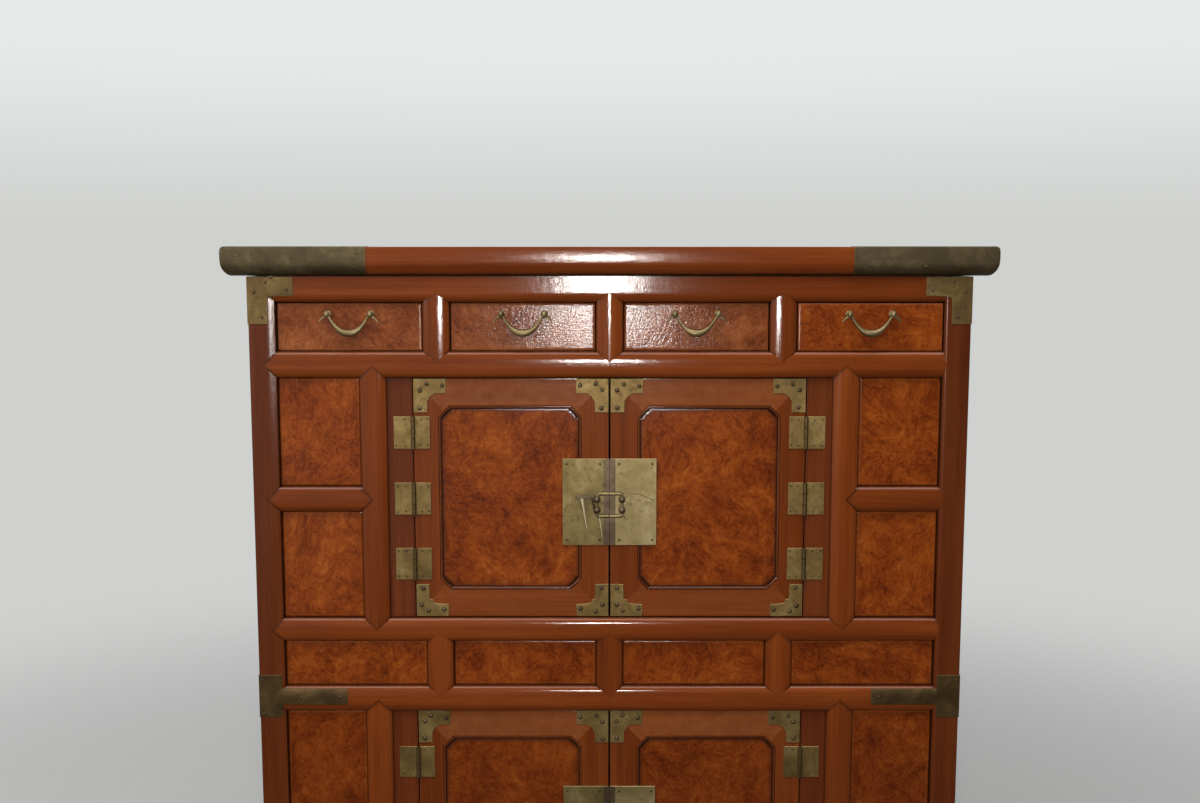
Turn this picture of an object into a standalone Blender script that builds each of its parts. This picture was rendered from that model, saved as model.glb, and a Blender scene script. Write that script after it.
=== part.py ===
"""Two-tier chest with four drawers, two pairs of doors and brass fittings, at real size in metres."""

import math

import bmesh
import bpy
from mathutils import Matrix, Vector

# Clearances
CLEAR = 0.0003              # gap between pieces that touch
DRAWER_PLAY = 0.0008        # each side and above a drawer
DRAWER_BACK_PLAY = 0.020    # behind a drawer
DOOR_PLAY = 0.0012          # above and below a door
HINGE_SIDE_GAP = 0.0014     # between a door and its jamb
DOOR_GAP = 0.0026           # between the two doors of a pair
OVERLAP = 0.002             # how far pieces that are glued into one reach into each other

# Case
CASE_WIDTH = 1.000
CASE_DEPTH = 0.450
LEG_HEIGHT = 0.145
TOP_THICKNESS = 0.0405
TOP_SIDE_OVERHANG = 0.0335
TOP_FRONT_OVERHANG = 0.015
TOP_BACK_OVERHANG = 0.005
TOP_UNDER_HEIGHT = 0.018    # rounding under the top board's front and ends
TOP_UNDER_INSET = 0.0105
POST_WIDTH = 0.037
POST_DEPTH = 0.045
POST_BEAD = 0.010
REAR_POST_DEPTH = 0.030
SIDE_THICKNESS = 0.020
SIDE_PANEL_RECESS = 0.007
SIDE_BORDER = 0.040
BACK_THICKNESS = 0.010
BACK_RAIL_DEPTH = 0.014
FLOOR_THICKNESS = 0.014
APRON_THICKNESS = 0.016
APRON_SETBACK = 0.010
APRON_DROP = 0.030
BRACKET_DROP = 0.085
BRACKET_RUN = 0.110

# Front frame: heights of the rails and of the openings between them
TOP_RAIL = 0.0365
DRAWER_HEIGHT = 0.068
DRAWER_RAIL = 0.037
DOOR_HEIGHT = 0.343
SILL_RAIL = 0.034
ROW_HEIGHT = 0.066
TIER_RAIL = 0.037
BASE_RAIL = 0.037
RAIL_DEPTH = 0.030
BEAD_RISE = 0.009
BEAD_STEPS = 8
MUNTIN_WIDTH = 0.038
MUNTIN_DEPTH = 0.024
FIELD_WIDTH = 0.114
MULLION_WIDTH = 0.038
JAMB_WIDTH = 0.035
JAMB_THICKNESS = 0.020
CROSS_HEIGHT = 0.036
PANEL_THICKNESS = 0.010
PANEL_SET = 0.001           # flat faces lie this far behind the edges of the moulded bars
DIVIDER_INSET = 0.002

# Doors
DOOR_THICKNESS = 0.022
DOOR_RAIL = 0.0385
DOOR_HINGE_STILE = 0.0345
DOOR_MEETING_STILE = 0.038
DOOR_CORNER_CUT = 0.013
DOOR_PANEL_RECESS = 0.0025
REBATE_WIDTH = 0.008
REBATE_DEPTH = 0.012
FLANGE_THICKNESS = 0.009

# Drawers and their pulls
DRAWER_COLUMNS = 4
DRAWER_WALL = 0.010
DRAWER_FRONT = 0.018
DRAWER_BOTTOM = 0.008
LAST_DRAWER_PROUD = 0.005   # the right-hand drawer stands a little open
PULL_SPAN = 0.060
PULL_TAIL = 0.005
PULL_TAIL_DROP = 0.008
PULL_DROP = 0.023
PULL_CURVE = 2.2            # power of the pull's sagging curve
PULL_NECK = 0.0025          # straight stretch between a post's head and the curve
PULL_RISE = 0.018           # posts above the middle of the drawer
PULL_STANDOFF = 0.0085
PULL_END_RADIUS = 0.0018
PULL_MIDDLE_RADIUS = 0.0050
PULL_TIP_RADIUS = 0.0013
PULL_STEPS = 8
PULL_SIDES = 8
PULL_BORE_PLAY = 0.0009
PULL_POST_RADIUS = 0.0024
PULL_POST_BALL = 0.0046

# Hinges
HINGE_HEIGHT = 0.046
HINGE_LEAF = 0.0235
JAMB_LEAF = 0.0275
HINGE_SPACING = 0.094
LEAF_THICKNESS = 0.0015
KNUCKLE_RADIUS = 0.0032
PIN_RADIUS = 0.0015
PIN_NECK_GAP = 0.0006       # between a pin and the necks that pass behind it
HINGE_SIDES = 12

# Locks
LOCK_HEIGHT = 0.124
LOCK_DROP = 0.0048          # middle of the plate below the middle of the door
LOCK_HALF_WIDTH = 0.065
LOCK_THICKNESS = 0.0015
LOCK_LIP_WIDTH = 0.0068
LOCK_LIP_RISE = 0.0007
STUD_X = 0.0175
STUD_SPACING = 0.015
STUD_DROP = 0.0025          # middle of the studs below the middle of the plate
STUD_NECK_RADIUS = 0.0018
STUD_NECK_LENGTH = 0.0045
STUD_BALL = 0.0050
STUD_BALL_SET = 0.85        # share of a ball's radius between its middle and its neck
STUD_SIDES = 10
LOCK_PULL_RADIUS = 0.0021
LOCK_PULL_HEIGHT = 0.032
LOCK_PULL_CORNER = 0.004
LOCK_PULL_CORNER_STEPS = 3
LOCK_PULL_SIDES = 6
LOCK_PULL_INSET = 0.0006    # pull tips stop this far short of the door's edge
LOCK_PIN_THICKNESS = 0.0036
LOCK_PIN_BAR_LENGTH = 0.030
LOCK_PIN_BAR_HEIGHT = 0.006
LOCK_PIN_EYE_WALL = 0.0020
LOCK_PIN_PRONG_LONG = 0.060
LOCK_PIN_PRONG_SHORT = 0.048
LOCK_PIN_PRONG_TOP = 0.0018
LOCK_PIN_PRONG_TIP = 0.0009
LOCK_PIN_SLANT = math.radians(10)
LOCK_PIN_PRONG_GAP = 0.0154  # between the middles of the two prongs

# Heights worked out from the floor up
BASE_RAIL_BOTTOM = LEG_HEIGHT
LOWER_ROW_BOTTOM = BASE_RAIL_BOTTOM + BASE_RAIL
LOWER_SILL_BOTTOM = LOWER_ROW_BOTTOM + ROW_HEIGHT
LOWER_DOOR_BOTTOM = LOWER_SILL_BOTTOM + SILL_RAIL
TIER_RAIL_BOTTOM = LOWER_DOOR_BOTTOM + DOOR_HEIGHT
UPPER_ROW_BOTTOM = TIER_RAIL_BOTTOM + TIER_RAIL
UPPER_SILL_BOTTOM = UPPER_ROW_BOTTOM + ROW_HEIGHT
UPPER_DOOR_BOTTOM = UPPER_SILL_BOTTOM + SILL_RAIL
DRAWER_RAIL_BOTTOM = UPPER_DOOR_BOTTOM + DOOR_HEIGHT
DRAWER_OPENING_BOTTOM = DRAWER_RAIL_BOTTOM + DRAWER_RAIL
TOP_RAIL_BOTTOM = DRAWER_OPENING_BOTTOM + DRAWER_HEIGHT
TOP_BOTTOM = TOP_RAIL_BOTTOM + TOP_RAIL
TOTAL_HEIGHT = TOP_BOTTOM + TOP_THICKNESS

# Planes from front to back, with the origin in the middle of the top board's depth
TOP_DEPTH = CASE_DEPTH + TOP_FRONT_OVERHANG + TOP_BACK_OVERHANG
FRONT_Y = TOP_FRONT_OVERHANG - TOP_DEPTH / 2
BACK_Y = FRONT_Y + CASE_DEPTH
FACE_Y = FRONT_Y + BEAD_RISE
LEAF_Y = FACE_Y + PANEL_SET
POST_BACK_Y = FRONT_Y + POST_DEPTH
INNER_BACK_Y = BACK_Y - REAR_POST_DEPTH
PLATE_Y = LEAF_Y - CLEAR - LOCK_THICKNESS
STUD_BALL_Y = PLATE_Y - STUD_NECK_LENGTH - STUD_BALL * STUD_BALL_SET
HINGE_Y = LEAF_Y - KNUCKLE_RADIUS - CLEAR

# Places across, measured from the middle
HALF_WIDTH = CASE_WIDTH / 2
POST_INNER = HALF_WIDTH - POST_WIDTH
SIDE_INNER = HALF_WIDTH - SIDE_THICKNESS
MULLION_OUTER = POST_INNER - FIELD_WIDTH
MULLION_INNER = MULLION_OUTER - MULLION_WIDTH
MULLION_X = (MULLION_OUTER + MULLION_INNER) / 2
JAMB_EDGE = MULLION_INNER - JAMB_WIDTH
HINGE_X = JAMB_EDGE - HINGE_SIDE_GAP / 2
DOOR_OUTER = JAMB_EDGE - HINGE_SIDE_GAP
DOOR_INNER = DOOR_GAP / 2
DRAWER_WIDTH = (2 * POST_INNER - (DRAWER_COLUMNS - 1) * MUNTIN_WIDTH) / DRAWER_COLUMNS
COLUMN_PITCH = DRAWER_WIDTH + MUNTIN_WIDTH
COLUMN_X = [(i - (DRAWER_COLUMNS - 1) / 2) * COLUMN_PITCH for i in range(DRAWER_COLUMNS)]
MUNTIN_X = [x + COLUMN_PITCH / 2 for x in COLUMN_X[:-1]]

SIDES = {"left": -1, "right": 1}
DOOR_BOTTOMS = {"upper": UPPER_DOOR_BOTTOM, "lower": LOWER_DOOR_BOTTOM}
ROOT_TWO = math.sqrt(2)
NOTCH_FRONT_Y = FRONT_Y - TOP_FRONT_OVERHANG
SMOOTH_ANGLE = math.radians(35)


def clear_scene():
    """Remove every object of the open scene."""
    for item in list(bpy.data.objects):
        bpy.data.objects.remove(item, do_unlink=True)


def make_collection(name):
    """Add a collection to the scene."""
    group = bpy.data.collections.new(name)
    bpy.context.scene.collection.children.link(group)
    return group


def make_finish(name, colour, roughness, metallic):
    """Principled material of one finish."""
    finish = bpy.data.materials.new(name)
    finish.use_nodes = True
    shader = finish.node_tree.nodes["Principled BSDF"]
    shader.inputs["Base Color"].default_value = (*colour, 1.0)
    shader.inputs["Roughness"].default_value = roughness
    shader.inputs["Metallic"].default_value = metallic
    return finish


clear_scene()
PARTS = make_collection("two_tier_chest")
CUTTERS = make_collection("cutters")
FRAME_WOOD = make_finish("frame_wood", (0.20, 0.062, 0.026), 0.38, 0.0)
BURL_WOOD = make_finish("burl_wood", (0.30, 0.105, 0.034), 0.36, 0.0)
INNER_WOOD = make_finish("inner_wood", (0.33, 0.20, 0.11), 0.7, 0.0)
BRASS = make_finish("aged_brass", (0.36, 0.30, 0.13), 0.42, 0.9)


def block(corner, opposite):
    """Box between two opposite corners."""
    solid = bmesh.new()
    bmesh.ops.create_cube(solid, size=1.0)
    size = [abs(b - a) for a, b in zip(corner, opposite)]
    bmesh.ops.scale(solid, vec=size, verts=solid.verts)
    bmesh.ops.translate(solid, vec=(Vector(corner) + Vector(opposite)) / 2, verts=solid.verts)
    return solid


def diamond(x, z, reach, depth):
    """Square bar set on edge, from in front of the case to a depth behind its front."""
    solid = bmesh.new()
    bmesh.ops.create_cube(solid, size=1.0)
    back = FRONT_Y + depth
    bmesh.ops.scale(solid, vec=(reach * ROOT_TWO, back - NOTCH_FRONT_Y, reach * ROOT_TWO), verts=solid.verts)
    bmesh.ops.rotate(solid, matrix=Matrix.Rotation(math.pi / 4, 3, "Y"), verts=solid.verts)
    bmesh.ops.translate(solid, vec=(x, (back + NOTCH_FRONT_Y) / 2, z), verts=solid.verts)
    return solid


def rod(start, end, radius, end_radius=None, sides=HINGE_SIDES):
    """Round bar between two points, tapered if an end radius is given."""
    start, end = Vector(start), Vector(end)
    solid = bmesh.new()
    far = radius if end_radius is None else end_radius
    bmesh.ops.create_cone(solid, cap_ends=True, segments=sides, radius1=radius, radius2=far,
                          depth=(end - start).length)
    turn = Vector((0, 0, 1)).rotation_difference(end - start).to_matrix()
    bmesh.ops.rotate(solid, matrix=turn, verts=solid.verts)
    bmesh.ops.translate(solid, vec=(start + end) / 2, verts=solid.verts)
    return solid


def ball(centre, radius):
    """Small round head with its poles to the front and back."""
    solid = bmesh.new()
    bmesh.ops.create_uvsphere(solid, u_segments=STUD_SIDES, v_segments=STUD_SIDES // 2 + 1, radius=radius)
    bmesh.ops.rotate(solid, matrix=Matrix.Rotation(math.pi / 2, 3, "X"), verts=solid.verts)
    bmesh.ops.translate(solid, vec=centre, verts=solid.verts)
    return solid


def curve_solid(curve):
    """Closed bmesh of a curve, with its caps welded and the curve removed."""
    carrier = bpy.data.objects.new("curve", curve)
    bpy.context.scene.collection.objects.link(carrier)
    mesh = bpy.data.meshes.new_from_object(carrier.evaluated_get(bpy.context.evaluated_depsgraph_get()))
    solid = bmesh.new()
    solid.from_mesh(mesh)
    bmesh.ops.remove_doubles(solid, verts=solid.verts, dist=CLEAR / 1000)
    bmesh.ops.recalc_face_normals(solid, faces=solid.faces)
    bpy.data.objects.remove(carrier, do_unlink=True)
    bpy.data.curves.remove(curve)
    bpy.data.meshes.remove(mesh)
    return solid


def prism(outlines, thickness, matrix):
    """Flat outlines filled and extruded evenly about their plane, then carried by a matrix."""
    curve = bpy.data.curves.new("outline", "CURVE")
    curve.dimensions = "2D"
    curve.fill_mode = "BOTH"
    curve.extrude = thickness / 2
    for outline in outlines:
        spline = curve.splines.new("POLY")
        spline.points.add(len(outline) - 1)
        for point, (u, v) in zip(spline.points, outline):
            point.co = (u, v, 0, 1)
        spline.use_cyclic_u = True
    solid = curve_solid(curve)
    bmesh.ops.transform(solid, matrix=matrix, verts=solid.verts)
    bmesh.ops.recalc_face_normals(solid, faces=solid.faces)
    return solid


def stack(loops):
    """Solid through level loops of points, from the lowest to the highest."""
    solid = bmesh.new()
    rings = [[solid.verts.new(point) for point in loop] for loop in loops]
    for lower, upper in zip(rings, rings[1:]):
        for i in range(len(lower)):
            solid.faces.new((lower[i - 1], lower[i], upper[i], upper[i - 1]))
    solid.faces.new(rings[0])
    solid.faces.new(rings[-1])
    bmesh.ops.recalc_face_normals(solid, faces=solid.faces)
    return solid


def wire(points, radii, sides):
    """Tube through points, with a radius at each of them."""
    curve = bpy.data.curves.new("wire", "CURVE")
    curve.dimensions = "3D"
    curve.bevel_depth = 1.0
    curve.bevel_resolution = sides // 2 - 2
    curve.use_fill_caps = True
    spline = curve.splines.new("POLY")
    spline.points.add(len(points) - 1)
    for point, place, radius in zip(spline.points, points, radii):
        point.co = (*place, 1)
        point.radius = radius
    return curve_solid(curve)


def front_plane(y):
    """Matrix that stands an outline drawn in x and z at a depth."""
    return Matrix.Translation((0, y, 0)) @ Matrix(((1, 0, 0, 0), (0, 0, -1, 0), (0, 1, 0, 0), (0, 0, 0, 1)))


def side_plane(x):
    """Matrix that stands an outline drawn in y and z at a place across."""
    return Matrix.Translation((x, 0, 0)) @ Matrix(((0, 0, 1, 0), (1, 0, 0, 0), (0, 1, 0, 0), (0, 0, 0, 1)))


def slice_off(solid, point, direction):
    """Cut away what lies past a plane and close the cut."""
    geometry = solid.verts[:] + solid.edges[:] + solid.faces[:]
    bmesh.ops.bisect_plane(solid, geom=geometry, dist=CLEAR / 1000, plane_co=point, plane_no=direction,
                           clear_outer=True)
    open_edges = [edge for edge in solid.edges if edge.is_boundary]
    bmesh.ops.holes_fill(solid, edges=open_edges, sides=0)


def bead_arc(half_width, rise, start, steps):
    """Points of a round-topped moulding, from a share of its half width to its far edge."""
    radius = (half_width ** 2 + rise ** 2) / (2 * rise)
    reach = math.asin(half_width / radius)
    angles = [reach * (start + (1 - start) * i / steps) for i in range(steps + 1)]
    return [(radius * math.sin(a), rise - radius + radius * math.cos(a)) for a in angles]


def bead_bar(width, low, high, rise, depth, point_low=True, point_high=True):
    """Moulded bar along x: edges on y = 0, crest to the front, pointed ends that run past low and high."""
    back = BEAD_RISE - depth
    profile = bead_arc(width / 2, rise, -1, BEAD_STEPS) + [(width / 2, back), (-width / 2, back)]
    start = low - (width / 2 if point_low else 0)
    end = high + (width / 2 if point_high else 0)
    turn = Matrix(((0, 0, 1, (start + end) / 2), (0, -1, 0, 0), (1, 0, 0, 0), (0, 0, 0, 1)))
    solid = prism([profile], end - start, turn)
    for pointed, tip, way in ((point_low, start, -1), (point_high, end, 1)):
        if pointed:
            for slant in (-1, 1):
                slice_off(solid, (tip, 0, 0), (way, 0, slant))
    return solid


def rail_bar(height, bottom):
    """Front rail between the posts, with its pointed ends let into them."""
    solid = bead_bar(height, -POST_INNER, POST_INNER, BEAD_RISE, RAIL_DEPTH)
    bmesh.ops.translate(solid, vec=(0, FACE_Y, bottom + height / 2), verts=solid.verts)
    return solid


def upright_bar(width, x, low, high, point_low=True):
    """Upright moulded bar between two rails."""
    solid = bead_bar(width, low, high, BEAD_RISE - CLEAR, MUNTIN_DEPTH, point_low)
    bmesh.ops.rotate(solid, matrix=Matrix.Rotation(-math.pi / 2, 3, "Y"), verts=solid.verts)
    bmesh.ops.translate(solid, vec=(x, FACE_Y, 0), verts=solid.verts)
    return solid


def notch(width, x, z, depth):
    """Cutter for the pointed end of a bar of a given width that meets an edge at a point."""
    return diamond(x, z, width / 2 + CLEAR * ROOT_TWO, depth + CLEAR)


def gather(solids):
    """Several solids that don't touch, in one bmesh."""
    group = bmesh.new()
    for solid in solids:
        mesh = bpy.data.meshes.new("gathered")
        solid.to_mesh(mesh)
        group.from_mesh(mesh)
        bpy.data.meshes.remove(mesh)
    return group


def to_mesh(name, solid):
    """Mesh of a bmesh, shaded smooth across its shallow edges."""
    mesh = bpy.data.meshes.new(name)
    solid.to_mesh(mesh)
    mesh.shade_smooth()
    mesh.set_sharp_from_angle(angle=SMOOTH_ANGLE)
    return mesh


def add_piece(name, solid, finish, origin=(0, 0, 0), carrier=None):
    """Named piece whose origin lies on a given point, carried by an empty if it moves."""
    bmesh.ops.translate(solid, vec=-Vector(origin), verts=solid.verts)
    mesh = to_mesh(name, solid)
    mesh.materials.append(finish)
    return place_piece(name, mesh, origin, carrier)


def place_piece(name, mesh, origin, carrier=None):
    """Object of a finished mesh at a point."""
    piece = bpy.data.objects.new(name, mesh)
    PARTS.objects.link(piece)
    piece.location = origin
    if carrier is not None:
        piece.parent = carrier
        piece.location = Vector(origin) - carrier.location
    return piece


def add_carrier(name, origin):
    """Empty on a joint's axis, which carries what moves with it."""
    carrier = bpy.data.objects.new(name, None)
    PARTS.objects.link(carrier)
    carrier.location = origin
    return carrier


def combine(piece, label, solids, operation):
    """Fuse solids to a piece, or cut them out of it, by a Boolean with one stowed tool."""
    tool = bpy.data.objects.new(f"{piece.name}_{label}", to_mesh(label, gather(solids)))
    CUTTERS.objects.link(tool)
    tool.hide_render = True
    tool.display_type = "WIRE"
    change = piece.modifiers.new(label, "BOOLEAN")
    change.operation = operation
    change.solver = "EXACT"
    change.object = tool


def fuse(piece, label, *solids):
    """Join solids to a piece."""
    combine(piece, label, solids, "UNION")


def cut(piece, label, *solids):
    """Take solids out of a piece."""
    combine(piece, label, solids, "DIFFERENCE")


def bake(piece):
    """Mesh of a piece with its Booleans worked in."""
    bpy.context.view_layer.update()
    graph = bpy.context.evaluated_depsgraph_get()
    return bpy.data.meshes.new_from_object(piece.evaluated_get(graph))


def bracket_edge(start, end, low, high):
    """Lower edge of an apron from start to end: a bracket at each end and a level stretch between."""
    steps = BEAD_STEPS
    way = 1 if end > start else -1
    rise = [(1 - math.cos(math.pi * i / steps)) / 2 for i in range(steps + 1)]
    run = [way * BRACKET_RUN * i / steps for i in range(steps + 1)]
    first = [(start + r, low + (high - low) * h) for r, h in zip(run, rise)]
    last = [(end - r, low + (high - low) * h) for r, h in zip(run, rise)]
    return first + last[::-1]


def make_top_board():
    """Top board, rounded under its front and its ends."""
    half = HALF_WIDTH + TOP_SIDE_OVERHANG
    front, back = -TOP_DEPTH / 2, TOP_DEPTH / 2
    quarter = [math.pi / 2 * i / BEAD_STEPS for i in range(BEAD_STEPS + 1)]
    levels = [(TOP_UNDER_INSET * (1 - math.sin(a)), TOP_BOTTOM + TOP_UNDER_HEIGHT * (1 - math.cos(a)))
              for a in quarter]
    levels.append((0.0, TOTAL_HEIGHT))
    loops = []
    for inset, z in levels:
        reach, near = half - inset, front + inset
        loops.append([(-reach, near, z), (reach, near, z), (reach, back, z), (-reach, back, z)])
    add_piece("top_board", stack(loops), FRAME_WOOD)


def make_front_post(side, sign):
    """Front post and leg, with a moulded inner edge and a notch for each bar that meets it."""
    profile = bead_arc(POST_BEAD, BEAD_RISE, 0, BEAD_STEPS // 2)
    profile = [(POST_INNER + POST_BEAD - u, FACE_Y - v) for u, v in profile]
    profile += [(POST_INNER, POST_BACK_Y), (HALF_WIDTH, POST_BACK_Y), (HALF_WIDTH, FRONT_Y)]
    profile = [(sign * x, y) for x, y in profile]
    height = TOP_BOTTOM - CLEAR
    solid = prism([profile], height, Matrix.Translation((0, 0, height / 2)))
    post = add_piece(f"front_post_{side}", solid, FRAME_WOOD)
    rails = ((TOP_RAIL_BOTTOM, TOP_RAIL), (DRAWER_RAIL_BOTTOM, DRAWER_RAIL), (UPPER_SILL_BOTTOM, SILL_RAIL),
             (TIER_RAIL_BOTTOM, TIER_RAIL), (LOWER_SILL_BOTTOM, SILL_RAIL), (BASE_RAIL_BOTTOM, BASE_RAIL))
    edge = sign * POST_INNER
    cuts = [notch(height, edge, bottom + height / 2, RAIL_DEPTH) for bottom, height in rails]
    cuts += [notch(CROSS_HEIGHT, edge, bottom + DOOR_HEIGHT / 2, MUNTIN_DEPTH)
             for bottom in DOOR_BOTTOMS.values()]
    cut(post, "notches", *cuts)


def make_side_frame(side, sign):
    """Side frame: rear post, side rails, apron and two sunk panels."""
    front, back = POST_BACK_Y + CLEAR, INNER_BACK_Y + OVERLAP
    top = TOP_BOTTOM - CLEAR
    outline = [(front, top), (back, top)]
    outline += bracket_edge(back, front, LEG_HEIGHT - BRACKET_DROP, LEG_HEIGHT - APRON_DROP)
    middle = sign * (HALF_WIDTH + SIDE_INNER) / 2
    solid = prism([outline], SIDE_THICKNESS, side_plane(middle))
    frame = add_piece(f"side_frame_{side}", solid, FRAME_WOOD)
    fuse(frame, "rear_post", block((sign * HALF_WIDTH, INNER_BACK_Y, 0), (sign * POST_INNER, BACK_Y, top)))
    spans = ((LOWER_ROW_BOTTOM, TIER_RAIL_BOTTOM), (UPPER_ROW_BOTTOM, TOP_RAIL_BOTTOM))
    depth = sign * (HALF_WIDTH - SIDE_PANEL_RECESS)
    beyond = sign * (HALF_WIDTH + SIDE_PANEL_RECESS)
    near, far = front + SIDE_BORDER, INNER_BACK_Y - SIDE_BORDER
    cut(frame, "sunk_panels", *[block((beyond, near, low), (depth, far, high)) for low, high in spans])


def make_back_panel():
    """Back board between the rear posts, with three rails behind it."""
    half = POST_INNER - CLEAR
    top = TOP_BOTTOM - CLEAR
    low = BASE_RAIL_BOTTOM
    board = block((-half, INNER_BACK_Y, low), (half, INNER_BACK_Y + BACK_THICKNESS, top))
    panel = add_piece("back_panel", board, INNER_WOOD)
    front = INNER_BACK_Y + BACK_THICKNESS - OVERLAP
    back = front + BACK_RAIL_DEPTH
    spans = ((low - APRON_DROP, low + BASE_RAIL), (TIER_RAIL_BOTTOM, TIER_RAIL_BOTTOM + TIER_RAIL),
             (TOP_RAIL_BOTTOM, top - OVERLAP))
    fuse(panel, "rails", *[block((OVERLAP - half, front, a), (half - OVERLAP, back, b)) for a, b in spans])


def shelf_blocks(top, thickness):
    """Board behind a rail: a part between the posts and a wider part between the side frames."""
    narrow, wide = POST_INNER - CLEAR, SIDE_INNER - CLEAR
    near, behind = FRONT_Y + RAIL_DEPTH - OVERLAP, POST_BACK_Y + CLEAR
    far = INNER_BACK_Y - CLEAR
    first = block((-narrow, near, top - thickness), (narrow, behind + OVERLAP, top))
    second = block((-wide, behind, top - thickness + OVERLAP / 2), (wide, far, top - OVERLAP / 2))
    return first, second


def make_top_rail():
    """Rail under the top board, notched for the muntins between the drawers."""
    height = TOP_RAIL - CLEAR
    rail = add_piece("top_rail", rail_bar(height, TOP_RAIL_BOTTOM), FRAME_WOOD)
    cut(rail, "notches", *[notch(MUNTIN_WIDTH, x, TOP_RAIL_BOTTOM, MUNTIN_DEPTH) for x in MUNTIN_X])


def make_drawer_shelf():
    """Drawer rail with its deck, the muntins and dividers between the drawers and the outer guides."""
    shelf = add_piece("drawer_shelf", rail_bar(DRAWER_RAIL, DRAWER_RAIL_BOTTOM), FRAME_WOOD)
    deck_top = DRAWER_OPENING_BOTTOM - CLEAR
    for label, solid in zip(("deck_front", "deck"), shelf_blocks(deck_top, FLOOR_THICKNESS)):
        fuse(shelf, label, solid)
    low = DRAWER_OPENING_BOTTOM - DRAWER_RAIL / 2
    fuse(shelf, "muntins", *[upright_bar(MUNTIN_WIDTH, x, low, TOP_RAIL_BOTTOM, False) for x in MUNTIN_X])
    near, far = FRONT_Y + MUNTIN_DEPTH - OVERLAP, INNER_BACK_Y - CLEAR - OVERLAP
    bottom, top = deck_top - 2 * OVERLAP, TOP_RAIL_BOTTOM - OVERLAP
    half = MUNTIN_WIDTH / 2 - DIVIDER_INSET
    fuse(shelf, "dividers", *[block((x - half, near, bottom), (x + half, far, top)) for x in MUNTIN_X])
    inner, outer = POST_INNER + DIVIDER_INSET, SIDE_INNER - CLEAR - OVERLAP
    behind = POST_BACK_Y + CLEAR + OVERLAP
    fuse(shelf, "guides", *[block((s * inner, behind, bottom), (s * outer, far, top))
                            for s in SIDES.values()])
    cut(shelf, "notches", *[notch(MULLION_WIDTH, s * MULLION_X, DRAWER_RAIL_BOTTOM, MUNTIN_DEPTH)
                            for s in SIDES.values()])


def row_notches(edge):
    """Cutters along a rail's edge for the muntins of a row of low panels."""
    return [notch(MUNTIN_WIDTH, x, edge, MUNTIN_DEPTH) for x in MUNTIN_X]


def mullion_notches(edge):
    """Cutters along a rail's edge for the two mullions of a tier."""
    return [notch(MULLION_WIDTH, s * MULLION_X, edge, MUNTIN_DEPTH) for s in SIDES.values()]


def make_sill_rail(tier, bottom):
    """Rail under a pair of doors, notched for the mullions above and the row muntins below."""
    rail = add_piece(f"{tier}_sill_rail", rail_bar(SILL_RAIL, bottom), FRAME_WOOD)
    cut(rail, "notches", *mullion_notches(bottom + SILL_RAIL), *row_notches(bottom))


def make_tier_shelf():
    """Rail between the two tiers with the floor of the upper compartment."""
    shelf = add_piece("tier_shelf", rail_bar(TIER_RAIL, TIER_RAIL_BOTTOM), FRAME_WOOD)
    boards = shelf_blocks(UPPER_ROW_BOTTOM - CLEAR, FLOOR_THICKNESS)
    for label, solid in zip(("floor_front", "floor"), boards):
        fuse(shelf, label, solid)
    cut(shelf, "notches", *row_notches(UPPER_ROW_BOTTOM), *mullion_notches(TIER_RAIL_BOTTOM))


def make_base_shelf():
    """Base rail with the floor of the lower compartment and the front apron."""
    shelf = add_piece("base_shelf", rail_bar(BASE_RAIL, BASE_RAIL_BOTTOM), FRAME_WOOD)
    boards = shelf_blocks(LOWER_ROW_BOTTOM - CLEAR, FLOOR_THICKNESS)
    for label, solid in zip(("floor_front", "floor"), boards):
        fuse(shelf, label, solid)
    half = POST_INNER - CLEAR
    top = BASE_RAIL_BOTTOM + OVERLAP
    outline = [(half, top), (-half, top)]
    outline += bracket_edge(-half, half, LEG_HEIGHT - BRACKET_DROP, LEG_HEIGHT - APRON_DROP)
    apron = prism([outline], APRON_THICKNESS, front_plane(FRONT_Y + APRON_SETBACK + APRON_THICKNESS / 2))
    fuse(shelf, "apron", apron)
    cut(shelf, "notches", *row_notches(LOWER_ROW_BOTTOM))


def make_row_panel(tier, bottom):
    """Row of low panels as one board with three moulded muntins."""
    low, high = bottom + CLEAR, bottom + ROW_HEIGHT - CLEAR
    half = POST_INNER - CLEAR
    board = block((-half, LEAF_Y, low), (half, LEAF_Y + PANEL_THICKNESS, high))
    row = add_piece(f"{tier}_row_panel", board, BURL_WOOD)
    fuse(row, "muntins", *[upright_bar(MUNTIN_WIDTH, x, bottom, bottom + ROW_HEIGHT) for x in MUNTIN_X])


def make_jamb(tier, side, sign, bottom):
    """Moulded mullion with the flat jamb that carries the hinges."""
    top = bottom + DOOR_HEIGHT
    solid = upright_bar(MULLION_WIDTH, sign * MULLION_X, bottom, top)
    jamb = add_piece(f"{tier}_jamb_{side}", solid, FRAME_WOOD)
    flat = block((sign * (MULLION_INNER + OVERLAP), LEAF_Y, bottom + CLEAR),
                 (sign * JAMB_EDGE, LEAF_Y + JAMB_THICKNESS, top - CLEAR))
    fuse(jamb, "flat", flat)
    cut(jamb, "notch", notch(CROSS_HEIGHT, sign * MULLION_OUTER, bottom + DOOR_HEIGHT / 2, MUNTIN_DEPTH))


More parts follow.
